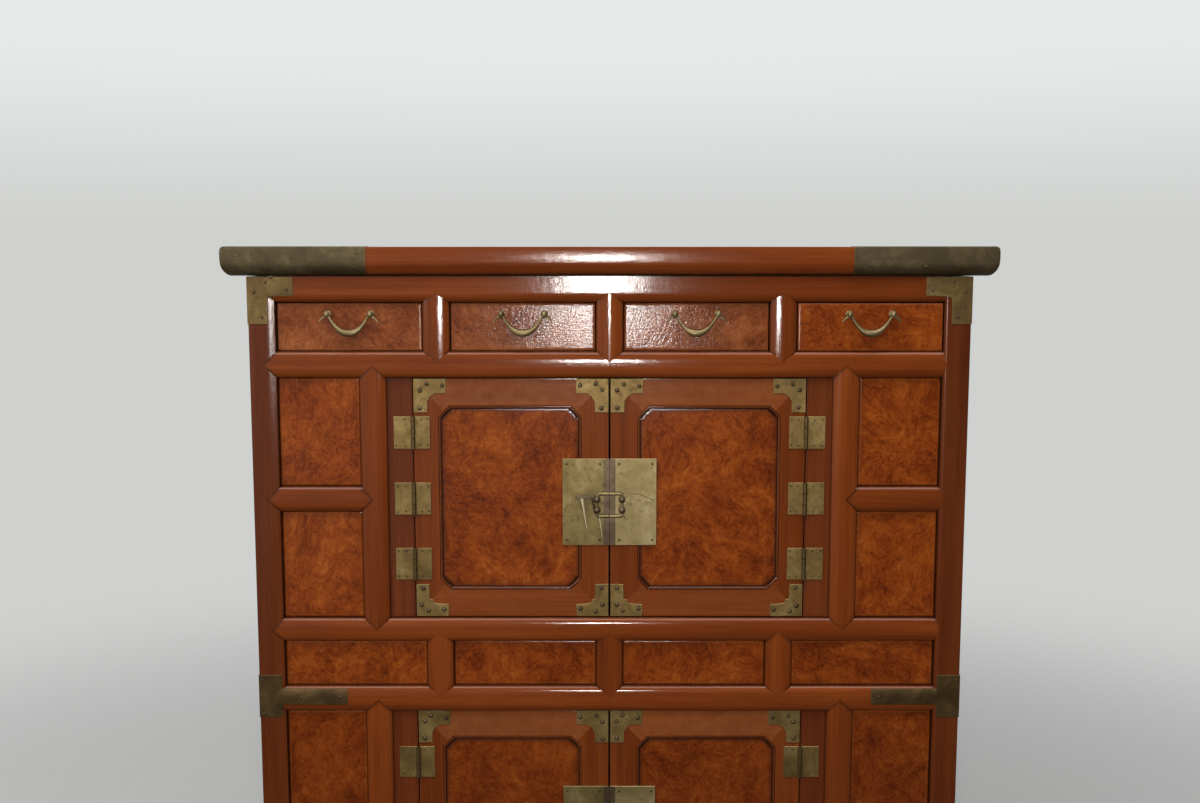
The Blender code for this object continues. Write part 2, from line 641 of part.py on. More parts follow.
def make_field(tier, side, sign, bottom):
    """Fixed side field: a board crossed by one moulded bar."""
    low, high = bottom + CLEAR, bottom + DOOR_HEIGHT - CLEAR
    board = block((sign * (POST_INNER - CLEAR), LEAF_Y, low),
                  (sign * (MULLION_OUTER + CLEAR), LEAF_Y + PANEL_THICKNESS, high))
    field = add_piece(f"{tier}_field_{side}", board, BURL_WOOD)
    ends = sorted((sign * POST_INNER, sign * MULLION_OUTER))
    cross = bead_bar(CROSS_HEIGHT, *ends, BEAD_RISE - CLEAR, MUNTIN_DEPTH)
    bmesh.ops.translate(cross, vec=(0, FACE_Y, bottom + DOOR_HEIGHT / 2), verts=cross.verts)
    fuse(field, "cross", cross)


def cut_corner_outline(x_low, x_high, z_low, z_high, cut_size):
    """Rectangle with its four corners cut off."""
    c = cut_size
    return [(x_low + c, z_low), (x_high - c, z_low), (x_high, z_low + c), (x_high, z_high - c),
            (x_high - c, z_high), (x_low + c, z_high), (x_low, z_high - c), (x_low, z_low + c)]


def make_door(tier, side, sign, bottom):
    """Door frame with its hinge leaves, and the panel held in its rebate."""
    axis = add_carrier(f"{tier}_{side}_door_axis", (sign * HINGE_X, HINGE_Y, bottom + DOOR_HEIGHT / 2))
    low, high = bottom + DOOR_PLAY, bottom + DOOR_HEIGHT - DOOR_PLAY
    x_low, x_high = sorted((sign * DOOR_INNER, sign * DOOR_OUTER))
    back = LEAF_Y + DOOR_THICKNESS
    slab = block((x_low, LEAF_Y, low), (x_high, back, high))
    frame = add_piece(f"{tier}_{side}_door_frame", slab, FRAME_WOOD, axis.location, axis)

    field_x = sorted((sign * (DOOR_INNER + DOOR_MEETING_STILE), sign * (DOOR_OUTER - DOOR_HINGE_STILE)))
    inner = (*field_x, low + DOOR_RAIL, high - DOOR_RAIL)
    through = 2 * DOOR_THICKNESS
    middle = front_plane(LEAF_Y + DOOR_THICKNESS / 2)
    cut(frame, "opening", prism([cut_corner_outline(*inner, DOOR_CORNER_CUT)], through, middle))
    cut(frame, "rebate", block((inner[0] - REBATE_WIDTH, back - REBATE_DEPTH, inner[2] - REBATE_WIDTH),
                               (inner[1] + REBATE_WIDTH, back + REBATE_DEPTH, inner[3] + REBATE_WIDTH)))
    plates, eyes, bores = [], [], []
    for z in hinge_heights(bottom):
        plate, neck, eye, bore = door_leaf(sign, z)
        plates.append(plate)
        eyes.append(eye)
        bores.append(bore)
        fuse(frame, f"neck_{len(eyes)}", neck)
    fuse(frame, "leaves", *plates)
    fuse(frame, "eyes", *eyes)
    cut(frame, "pin_bores", *bores)

    gap = CLEAR
    field = (inner[0] + gap, inner[1] - gap, inner[2] + gap, inner[3] - gap)
    front, flange = LEAF_Y + DOOR_PANEL_RECESS, back - REBATE_DEPTH + gap
    depth = flange + OVERLAP - front
    board = prism([cut_corner_outline(*field, DOOR_CORNER_CUT)], depth, front_plane(front + depth / 2))
    panel = add_piece(f"{tier}_{side}_door_panel", board, BURL_WOOD, axis.location, axis)
    edge = REBATE_WIDTH - 2 * gap
    fuse(panel, "flange", block((field[0] - edge, flange, field[2] - edge),
                                (field[1] + edge, flange + FLANGE_THICKNESS, field[3] + edge)))
    make_lock(tier, side, sign, bottom + DOOR_HEIGHT / 2 - LOCK_DROP, axis)


def hinge_heights(bottom):
    """Middles of the three hinges of a door."""
    middle = bottom + DOOR_HEIGHT / 2
    return [middle + HINGE_SPACING * step for step in (-1, 0, 1)]


def door_leaf(sign, z):
    """Leaf on a door: plate let into its face, neck, eye and pin bore of the middle knuckle."""
    half, third = HINGE_HEIGHT / 2, HINGE_HEIGHT / 6 - CLEAR
    near = HINGE_X - KNUCKLE_RADIUS
    far = HINGE_X - HINGE_LEAF
    front, back = LEAF_Y - LEAF_THICKNESS, LEAF_Y + LEAF_THICKNESS / 2
    plate = block((sign * near, front, z - half), (sign * far, back, z + half))
    neck_front = HINGE_Y + PIN_RADIUS + PIN_NECK_GAP
    neck = block((sign * (HINGE_X - CLEAR), neck_front, z - third + CLEAR),
                 (sign * (near - OVERLAP), LEAF_Y - CLEAR, z + third - CLEAR))
    eye = rod((sign * HINGE_X, HINGE_Y, z - third), (sign * HINGE_X, HINGE_Y, z + third), KNUCKLE_RADIUS)
    bore = rod((sign * HINGE_X, HINGE_Y, z - half), (sign * HINGE_X, HINGE_Y, z + half), PIN_RADIUS + CLEAR)
    return plate, neck, eye, bore


def make_hinges(side, sign):
    """Fixed leaves with their knuckles and pins, one mesh shared by the hinges of a side."""
    half, third = HINGE_HEIGHT / 2, HINGE_HEIGHT / 6 + CLEAR
    near, far = KNUCKLE_RADIUS, JAMB_LEAF
    front, back = LEAF_Y - LEAF_THICKNESS - HINGE_Y, LEAF_Y - CLEAR - HINGE_Y
    plate = block((sign * near, front, -half), (sign * far, back, half))
    model = add_piece(f"hinge_model_{side}", plate, BRASS)
    spans = ((-half, -third), (third, half))
    neck_front = PIN_RADIUS + PIN_NECK_GAP
    fuse(model, "necks", *[block((sign * CLEAR, neck_front, a), (sign * (near + OVERLAP), back - CLEAR, b))
                           for a, b in spans])
    fuse(model, "knuckles", *[rod((0, 0, a), (0, 0, b), KNUCKLE_RADIUS) for a, b in spans])
    fuse(model, "pin", rod((0, 0, OVERLAP - half), (0, 0, half - OVERLAP), PIN_RADIUS))
    mesh = bake(model)
    bpy.data.objects.remove(model, do_unlink=True)
    for tier, bottom in DOOR_BOTTOMS.items():
        for number, z in enumerate(hinge_heights(bottom), start=1):
            place_piece(f"{tier}_{side}_hinge_{number}", mesh, (sign * HINGE_X, HINGE_Y, z))


def make_lock(tier, side, sign, middle, axis):
    """Half of a lock plate with its two ball studs, and the pull that turns in them."""
    half = LOCK_HEIGHT / 2
    back = LEAF_Y - CLEAR
    inner, outer = sign * (DOOR_INNER + CLEAR), sign * (DOOR_INNER + LOCK_HALF_WIDTH)
    sheet = block((inner, PLATE_Y, middle - half), (outer, back, middle + half))
    plate = add_piece(f"{tier}_{side}_lock_plate", sheet, BRASS, axis.location, axis)
    lip_edge = sign * (DOOR_INNER + LOCK_LIP_WIDTH)
    fuse(plate, "lip", block((inner, PLATE_Y - LOCK_LIP_RISE, middle - half + CLEAR),
                             (lip_edge, back - CLEAR, middle + half - CLEAR)))
    x, level = sign * STUD_X, middle - STUD_DROP
    heights = (level - STUD_SPACING / 2, level + STUD_SPACING / 2)
    fuse(plate, "necks", *[rod((x, back - CLEAR, z), (x, STUD_BALL_Y, z), STUD_NECK_RADIUS, sides=STUD_SIDES)
                           for z in heights])
    fuse(plate, "balls", *[ball((x, STUD_BALL_Y, z), STUD_BALL) for z in heights])
    reach = STUD_SPACING + STUD_BALL
    cut(plate, "pivot_bore", rod((x, STUD_BALL_Y, level - reach), (x, STUD_BALL_Y, level + reach),
                                 LOCK_PULL_RADIUS + CLEAR, sides=STUD_SIDES))
    make_lock_pull(tier, side, sign, level, axis)
    if side == "left":
        make_lock_pin(tier, x, heights, axis)


def make_lock_pull(tier, side, sign, level, axis):
    """Bent wire whose upright leg turns in the studs, with two arms that point to the doors' gap."""
    tip, leg = DOOR_INNER + LOCK_PULL_INSET, STUD_X
    half, corner = LOCK_PULL_HEIGHT / 2, LOCK_PULL_CORNER
    steps = LOCK_PULL_CORNER_STEPS
    turn = [math.pi / 2 * i / steps for i in range(steps + 1)]
    upper = [(leg - corner + corner * math.sin(a), half - corner + corner * math.cos(a)) for a in turn]
    path = [(tip, half)] + upper + [(x, -z) for x, z in reversed(upper)] + [(tip, -half)]
    points = [(sign * x, STUD_BALL_Y, level + z) for x, z in path]
    solid = wire(points, [LOCK_PULL_RADIUS] * len(points), LOCK_PULL_SIDES)
    add_piece(f"{tier}_{side}_lock_pull", solid, BRASS, (sign * leg, STUD_BALL_Y, level), axis)


def make_lock_pin(tier, x, heights, axis):
    """Two-pronged pin that hangs by an eye on the upper stud and leans on the lower one."""
    lower, upper = heights
    y = PLATE_Y - CLEAR - LOCK_PIN_THICKNESS / 2
    near, far = y + LOCK_PIN_THICKNESS / 2, y - LOCK_PIN_THICKNESS / 2
    bore = STUD_NECK_RADIUS + CLEAR
    eye_radius = bore + LOCK_PIN_EYE_WALL
    bar_low = upper + bore + CLEAR - LOCK_PIN_BAR_HEIGHT / 2
    bar = block((x - LOCK_PIN_BAR_LENGTH, near, bar_low), (x - bore, far, bar_low + LOCK_PIN_BAR_HEIGHT))
    pin = add_piece(f"{tier}_lock_pin", bar, BRASS, (x, y, upper), axis)
    fuse(pin, "eye", rod((x, near - CLEAR, upper), (x, far + CLEAR, upper), eye_radius, sides=STUD_SIDES))
    cut(pin, "eye_bore", rod((x, near + CLEAR, upper), (x, far - CLEAR, upper), bore, sides=STUD_SIDES))
    slope = math.tan(LOCK_PIN_SLANT)
    top = bar_low + LOCK_PIN_BAR_HEIGHT / 2
    lean = (STUD_NECK_RADIUS + LOCK_PIN_PRONG_TOP + CLEAR) / math.cos(LOCK_PIN_SLANT)
    first = x - lean - (top - lower) * slope
    prongs = []
    for start, length in ((first, LOCK_PIN_PRONG_LONG), (first - LOCK_PIN_PRONG_GAP, LOCK_PIN_PRONG_SHORT)):
        end = (start + length * math.sin(LOCK_PIN_SLANT), y, top - length * math.cos(LOCK_PIN_SLANT))
        prongs.append(rod((start, y, top), end, LOCK_PIN_PRONG_TOP, LOCK_PIN_PRONG_TIP, sides=STUD_SIDES))
    fuse(pin, "prongs", *prongs)


def make_drawer(number, x, proud):
    """Drawer box with its front and the two posts of its pull, and the pull that hangs in them."""
    front = LEAF_Y - proud
    slide = add_carrier(f"drawer_{number}_slide", (x, front, DRAWER_OPENING_BOTTOM))
    half = DRAWER_WIDTH / 2 - DRAWER_PLAY
    low, high = DRAWER_OPENING_BOTTOM + CLEAR, TOP_RAIL_BOTTOM - DRAWER_PLAY
    back = INNER_BACK_Y - DRAWER_BACK_PLAY - proud
    drawer = add_piece(f"drawer_{number}", block((x - half, front, low), (x + half, back, high)), BURL_WOOD,
                       slide.location, slide)
    cut(drawer, "inside", block((x - half + DRAWER_WALL, front + DRAWER_FRONT, low + DRAWER_BOTTOM),
                                (x + half - DRAWER_WALL, back - DRAWER_WALL, high + DRAWER_WALL)))
    level = (low + high) / 2 + PULL_RISE
    pivot_y = front - PULL_STANDOFF
    posts = [x - PULL_SPAN / 2, x + PULL_SPAN / 2]
    fuse(drawer, "pull_posts", *[rod((p, front + OVERLAP, level), (p, pivot_y, level), PULL_POST_RADIUS,
                                     sides=STUD_SIDES) for p in posts])
    fuse(drawer, "post_heads", *[ball((p, pivot_y, level), PULL_POST_BALL) for p in posts])
    reach = 2 * PULL_POST_BALL
    cut(drawer, "pivot_bores", *[rod((p - reach, pivot_y, level), (p + reach, pivot_y, level),
                                     PULL_END_RADIUS + PULL_BORE_PLAY, sides=STUD_SIDES) for p in posts])
    make_drawer_bail(number, x, pivot_y, level, slide)


def bail_half():
    """Right half of a drawer pull from its middle out: place along it, drop below the pivots, radius."""
    belly = PULL_SPAN / 2 - PULL_POST_BALL - PULL_NECK
    shares = [i / PULL_STEPS for i in range(PULL_STEPS + 1)]
    half = []
    for share in shares:
        swell = (1 + math.cos(math.pi * share)) / 2
        half.append((belly * share, PULL_DROP * (1 - share ** PULL_CURVE),
                     PULL_END_RADIUS + (PULL_MIDDLE_RADIUS - PULL_END_RADIUS) * swell))
    tail = PULL_SPAN / 2 + PULL_POST_BALL
    for share in shares[::2]:
        half.append((tail + PULL_TAIL * share, PULL_TAIL_DROP * share ** 2,
                     PULL_END_RADIUS + (PULL_TIP_RADIUS - PULL_END_RADIUS) * share))
    return half


def make_drawer_bail(number, x, pivot_y, level, slide):
    """Swan-neck pull: thick at its middle, straight through its posts, with short tails beyond them."""
    right = bail_half()
    shape = [(-along, drop, radius) for along, drop, radius in reversed(right[1:])] + right
    points = [(x + along, pivot_y, level - drop) for along, drop, _ in shape]
    solid = wire(points, [radius for _, _, radius in shape], PULL_SIDES)
    add_piece(f"drawer_{number}_bail", solid, BRASS, (x, pivot_y, level), slide)


def main():
    """Build the chest from the case to its fittings."""
    make_top_board()
    make_back_panel()
    make_top_rail()
    make_drawer_shelf()
    make_tier_shelf()
    make_base_shelf()
    for tier, sill, row in (("upper", UPPER_SILL_BOTTOM, UPPER_ROW_BOTTOM),
                            ("lower", LOWER_SILL_BOTTOM, LOWER_ROW_BOTTOM)):
        make_sill_rail(tier, sill)
        make_row_panel(tier, row)
    for side, sign in SIDES.items():
        make_front_post(side, sign)
        make_side_frame(side, sign)
        make_hinges(side, sign)
        for tier, bottom in DOOR_BOTTOMS.items():
            make_jamb(tier, side, sign, bottom)
            make_field(tier, side, sign, bottom)
            make_door(tier, side, sign, bottom)
    for number, x in enumerate(COLUMN_X, start=1):
        make_drawer(number, x, LAST_DRAWER_PROUD if number == DRAWER_COLUMNS else 0.0)


main()
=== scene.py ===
"""Looks of a two-tier chest: moulded frame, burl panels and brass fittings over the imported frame."""

import logging
import math
import random
from collections.abc import Callable, Iterable, Sequence
from dataclasses import dataclass, field
from enum import Enum
from typing import Any, ClassVar, NamedTuple

import bmesh
import bpy
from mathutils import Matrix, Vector


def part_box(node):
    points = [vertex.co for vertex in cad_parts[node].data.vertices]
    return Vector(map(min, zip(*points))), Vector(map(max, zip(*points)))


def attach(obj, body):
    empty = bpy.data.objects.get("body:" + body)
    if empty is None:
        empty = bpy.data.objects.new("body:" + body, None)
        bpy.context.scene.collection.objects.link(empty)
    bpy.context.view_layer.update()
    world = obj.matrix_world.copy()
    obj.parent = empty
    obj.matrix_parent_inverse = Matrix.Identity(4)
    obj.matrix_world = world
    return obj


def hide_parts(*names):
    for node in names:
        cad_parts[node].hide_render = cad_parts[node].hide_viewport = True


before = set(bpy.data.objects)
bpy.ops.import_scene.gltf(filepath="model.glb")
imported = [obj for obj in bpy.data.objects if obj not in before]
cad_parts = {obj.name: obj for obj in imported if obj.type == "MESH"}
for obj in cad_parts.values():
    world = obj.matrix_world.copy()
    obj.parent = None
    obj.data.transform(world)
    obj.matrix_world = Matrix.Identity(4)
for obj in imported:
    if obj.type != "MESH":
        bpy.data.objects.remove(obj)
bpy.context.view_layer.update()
LOG = logging.getLogger("chest")
CHANCE = random.Random(11)

Pair = tuple[float, float]
Place = tuple[float, float, float]
Colour = tuple[float, float, float]


def node_span(node: str, axis: int) -> Pair:
    """Lower and upper edge of a node of the frame along an axis, to a hundredth of a millimetre."""
    low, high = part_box(node)
    return round(low[axis], 5), round(high[axis], 5)


X = Vector((1.0, 0.0, 0.0))
Y = Vector((0.0, 1.0, 0.0))
Z = Vector((0.0, 0.0, 1.0))
MM = 0.001
CLEAR = 0.3 * MM
CASE = "case"

# Large sizes, read from the frame.
POST_INNER, HALF_WIDTH = node_span("front_post_right", 0)
FRONT_Y, POST_BACK_Y = node_span("front_post_right", 1)
BACK_Y = node_span("side_frame_right", 1)[1]
INNER_BACK_Y = node_span("back_panel", 1)[0]
TOP_BOTTOM, TOP_HEIGHT = node_span("top_board", 2)
JAMB_EDGE, MULLION_OUTER = node_span("upper_jamb_right", 0)
RAIL_HEIGHT = 0.037
RAILS = {
    "base": (round(node_span("base_shelf", 2)[1] - RAIL_HEIGHT, 5), node_span("base_shelf", 2)[1]),
    "lower_sill": node_span("lower_sill_rail", 2),
    "tier": node_span("tier_shelf", 2),
    "upper_sill": node_span("upper_sill_rail", 2),
    "drawer": (node_span("drawer_shelf", 2)[0], round(node_span("drawer_shelf", 2)[0] + RAIL_HEIGHT, 5)),
    "top": node_span("top_rail", 2),
}

# Depths of the mouldings' edges, the faces of doors and panels, the lock plates, hinge pins and studs.
RISE = 9 * MM
FACE_Y = FRONT_Y + RISE
LEAF_Y = FACE_Y + MM
PLATE_Y = LEAF_Y - 1.8 * MM
HINGE_Y = LEAF_Y - 3.5 * MM
STUD_Y = PLATE_Y - 8.75 * MM

# Places across the front.
SIDE_INNER = 0.480
COLUMN_HALF = 0.1015
MUNTIN_HALF = 0.019
PITCH = 2 * (COLUMN_HALF + MUNTIN_HALF)
MUNTIN_X = (-PITCH, 0.0, PITCH)
COLUMN_X = (-1.5 * PITCH, -0.5 * PITCH, 0.5 * PITCH, 1.5 * PITCH)
MULLION_HALF = 0.019
MULLION_X = MULLION_OUTER - MULLION_HALF
CROSS_HALF = 0.018
HINGE_X = JAMB_EDGE - 0.7 * MM
DOOR_INNER = 1.3 * MM
DOOR_OUTER = JAMB_EDGE - 1.4 * MM
STUD_X = 0.0175

# The lock sits a little below the middle of the doors, and its studs a little below its own middle.
LOCK_DROP = 4.8 * MM
STUD_DROP = 2.5 * MM
STUD_HALF = 7.5 * MM

# Sections of the mouldings; a post's are distances outside its inner edge and heights, in millimetres.
CROWN = 2.9
FLAT_CROWN = 2.4
LEFT_POST = ((0.0, 0.0), (0.15, 2.6), (0.4, 4.4), (0.7, 5.5), (1.0, 6.1), (3.0, 6.68), (5.0, 7.22),
             (7.0, 7.71), (9.0, 8.13), (11.0, 8.47), (13.0, 8.71), (15.0, 8.88), (18.0, 9.0))
RIGHT_POST = ((0.0, 0.0), (0.3, 3.4), (0.8, 5.8), (1.4, 7.4), (2.2, 8.4), (3.4, 8.9), (5.0, 9.0), (18.0, 9.0))


class Named(Enum):
    """Choice whose name is part of the names of the frame's nodes."""

    @property
    def word(self) -> str:
        """Its name there."""
        return self.name.lower()


class Side(Named):
    """Left or right half of the chest, with its sign along x."""

    LEFT = -1
    RIGHT = 1

    @property
    def post(self) -> tuple[Pair, ...]:
        """Section of its post."""
        return LEFT_POST if self is Side.LEFT else RIGHT_POST

    def span(self, a: float, b: float) -> Pair:
        """Two distances from the middle of the chest as places on this side, the lower first."""
        low, high = sorted((self.value * a, self.value * b))
        return low, high


class Tier(Named):
    """Upper or lower tier: the rails under its low panels, under its doors and over its doors."""

    UPPER = ("tier", "upper_sill", "drawer")
    LOWER = ("base", "lower_sill", "tier")

    @property
    def row(self) -> Pair:
        """Bottom and top of the row of low panels."""
        return RAILS[self.value[0]][1], RAILS[self.value[1]][0]

    @property
    def door(self) -> Pair:
        """Bottom and top of the door opening."""
        return RAILS[self.value[1]][1], RAILS[self.value[2]][0]

    @property
    def middle(self) -> float:
        """Height of the middle of the doors."""
        return sum(self.door) / 2


class Corner(Enum):
    """Outline of a door bracket from its outer corner, named for its inner corner."""

    ROUND = "round"
    STEPPED = "stepped"

    @property
    def outline(self) -> list[Pair]:
        """Points of the outline."""
        if self is Corner.ROUND:
            fillet = arc((29.5, 30.5), 7.5, 270, 180, 5)
            return in_mm((0, 0), (46, 0), (45.5, 21), (29.5, 21), *fillet, (20, 30.5), (19.5, 47.8), (0, 48))
        return in_mm((0, 0), (45.5, 0), (45.8, 17.5), (31, 18.2), (24.5, 20), (24, 24), (19, 25.5),
                     (18.7, 46.5), (0, 47))


class Spot(NamedTuple):
    """Vertex of a shape: its place, its place in its piece of wood, its soiling, which also holds painted
    shade, and its rubbing, which also holds painted highlight.
    """

    place: Vector
    grain: Sequence[float]
    grime: float = 0.0
    wear: float = 0.0


class Level(NamedTuple):
    """Step of a fielded panel or plate: inset from its outline, height, soiling with painted shade, and
    rubbing with painted highlight.
    """

    inset: float
    height: float
    grime: float = 0.0
    wear: float = 0.0


def profile(*steps: Sequence[float]) -> list[Level]:
    """Levels from insets and heights in millimetres, each with its soiling and painted shade, and its rubbing
    and painted highlight.
    """
    return [Level(inset * MM, height * MM, *marks) for inset, height, *marks in steps]


def in_mm(*pairs: Pair) -> list[Pair]:
    """Pairs of numbers that are given in millimetres."""
    return [(a * MM, b * MM) for a, b in pairs]


EASED_EDGE = profile((0, -1.0, 0.3, 0.3), (1.0, 0, 0.2, 0.6), (3.0, 0))
# Edge of a sunk panel: a dark border, soiling and painted shade where it meets the mouldings, and a rubbed
# lip.
FIELD_EDGE = profile((0, -10, 1.0), (0.15, -1.6, 0.9), (0.8, -1.0, 0.6, 0.2), (1.6, -0.40, 0.25, 0.5),
                     (2.9, -0.06, 0.10, 0.9), (4.5, 0, 0.06), (12, 0))


@dataclass(frozen=True)
class Lay:
    """Working frame of a piece: a point and three directions."""

    origin: Vector
    along: Vector
    across: Vector
    out: Vector

    def at(self, s: float, u: float, h: float) -> Vector:
        """Point at a length, a width and a height."""
        return self.origin + self.along * s + self.across * u + self.out * h


def front_lay(y: float, z: float = 0.0) -> Lay:
    """Frame that faces the front at a depth and a height, with x along and z across."""
    return Lay(Vector((0, y, z)), X, Z, -Y)


def upright_lay(x: float, y: float) -> Lay:
    """Frame of an upright bar, with z along and x across."""
    return Lay(Vector((x, y, 0)), Z, X, -Y)


def side_lay(side: Side) -> Lay:
    """Frame on the outer face of a side, with y along and z across."""
    return Lay(Vector((side.value * HALF_WIDTH, 0, 0)), Y, Z, X * side.value)


def crown(share: float) -> float:
    """Height of the mouldings at a share of their half width."""
    return RISE * max(0.0, 1 - min(1.0, abs(share)) ** CROWN) ** (1 / CROWN)


def tent(share: float) -> float:
    """Height of the short uprights: even slopes from a soft ridge.

    Args:
        share: Place across the bar as a share of its half width.

    Returns:
        Height over its edges.
    """
    ridge, fall = 0.22, 2.70 * MM
    t = min(1.0, abs(share))
    return (RISE - fall * (math.hypot(t, ridge) - ridge)) * max(0.0, 1 - t ** 7) ** 0.4


def flat_crown(share: float) -> float:
    """Height of the top rail at a share of its half width: flat above, rounded off below."""
    below = max(0.0, -0.2 - share) / 0.8
    return RISE * max(0.0, 1 - min(1.0, below) ** FLAT_CROWN) ** (1 / FLAT_CROWN)


def post_height(side: Side, beyond: float) -> float:
    """Height of a post over its inner edge.

    Args:
        side: Side of the chest.
        beyond: Distance outside the inner edge.

    Returns:
        Height in front of the plane of the mouldings' edges.
    """
    for (a, low), (b, high) in zip(side.post, side.post[1:]):
        if beyond < b * MM:
            return MM * (low + (high - low) * max(0.0, beyond / MM - a) / (b - a))
    return RISE


def front_height(x: float, z: float) -> float:
    """Height of the posts and rails over their edges.

    Args:
        x: Place across the front.
        z: Place up the front.

    Returns:
        Height in front of the plane of the mouldings' edges.
    """
    beyond = abs(x) - POST_INNER
    best = 0.0 if beyond < 0 else post_height(Side.LEFT if x < 0 else Side.RIGHT, beyond)
    for name, (low, high) in RAILS.items():
        half = (high - low) / 2
        share = (z - (low + high) / 2) / half
        if abs(share) < 1 and beyond < half * (1 - abs(share)):
            best = max(best, flat_crown(share) if name == "top" else crown(share))
    return best


def counterclockwise(path: Sequence[Sequence[float]]) -> list[Vector]:
    """Closed outline turned so that it runs counterclockwise.

    Args:
        path: Points of the outline, either way round.

    Returns:
        The points as vectors.
    """
    area = sum(a[0] * b[1] - b[0] * a[1] for a, b in zip(path, [*path[1:], path[0]]))
    points = [Vector(point) for point in path]
    return points if area > 0 else points[::-1]


def inset_path(path: Sequence[Vector], distance: float) -> list[Vector]:
    """Closed outline moved inwards.

    Args:
        path: Outline that runs counterclockwise.
        distance: How far it moves; a negative distance moves it outwards.

    Returns:
        The moved outline, point for point.
    """
    moved = []
    for i, here in enumerate(path):
        first = (here - path[i - 1]).normalized()
        second = (path[(i + 1) % len(path)] - here).normalized()
        a, b = Vector((-first.y, first.x)), Vector((-second.y, second.x))
        moved.append(here + (a + b) * (distance / max(0.45, 1 + a.dot(b))))
    return moved


def inset_member(path: Sequence[Vector], distance: float) -> list[Vector]:
    """Outline of a mitred member moved inwards, with its two mitres left in place.

    Args:
        path: Outline that starts with the two ends of its outer edge.
        distance: How far its outer and inner edges move.

    Returns:
        The moved outline, point for point.
    """
    moved = inset_path(path, distance)
    outside = path[1] - path[0]
    ends = ((0, -1, outside), (1, 2, outside), (2, 1, path[3] - path[2]), (-1, 0, path[-2] - path[-1]))
    for end, beyond, edge in ends:
        here, along = path[end], (path[beyond] - path[end]).normalized()
        lean = abs(along.x * edge.y - along.y * edge.x) / edge.length
        moved[end] = here + along * (distance / max(0.3, lean))
    return moved


def shrunk_path(path: Sequence[Vector], distance: float) -> list[Vector]:
    """Closed outline drawn in towards its middle, so that its straight edges move by a distance.

    Args:
        path: Outline.
        distance: How far its outermost edges move.

    Returns:
        The smaller outline, point for point.
    """
    low = Vector((min(p.x for p in path), min(p.y for p in path)))
    high = Vector((max(p.x for p in path), max(p.y for p in path)))
    middle, half = (low + high) / 2, (high - low) / 2
    return [Vector((middle.x + (p.x - middle.x) * (1 - distance / half.x),
                    middle.y + (p.y - middle.y) * (1 - distance / half.y))) for p in path]


def arc(centre: Pair, radius: float, start: float, end: float, steps: int) -> list[Pair]:
    """Points of an arc between two angles in degrees."""
    turns = [math.radians(start + (end - start) * i / steps) for i in range(steps + 1)]
    return [(centre[0] + radius * math.cos(a), centre[1] + radius * math.sin(a)) for a in turns]


def rectangle(x0: float, x1: float, z0: float, z1: float, radius: float = 0.0) -> list[Vector]:
    """Rectangle with rounded corners.

    Args:
        x0: Left edge.
        x1: Right edge.
        z0: Lower edge.
        z1: Upper edge.
        radius: Radius of the corners.

    Returns:
        Its outline, counterclockwise.
    """
    if radius <= 0:
        return [Vector(p) for p in ((x0, z0), (x1, z0), (x1, z1), (x0, z1))]
    r = radius
    corners = ((x1 - r, z0 + r, -90), (x1 - r, z1 - r, 0), (x0 + r, z1 - r, 90), (x0 + r, z0 + r, 180))
    return [Vector(p) for x, z, turn in corners for p in arc((x, z), r, turn, turn + 90, 3)]


class Coat(NamedTuple):
    """Material of a piece, with the name of its finish."""

    material: bpy.types.Material
    slot: str


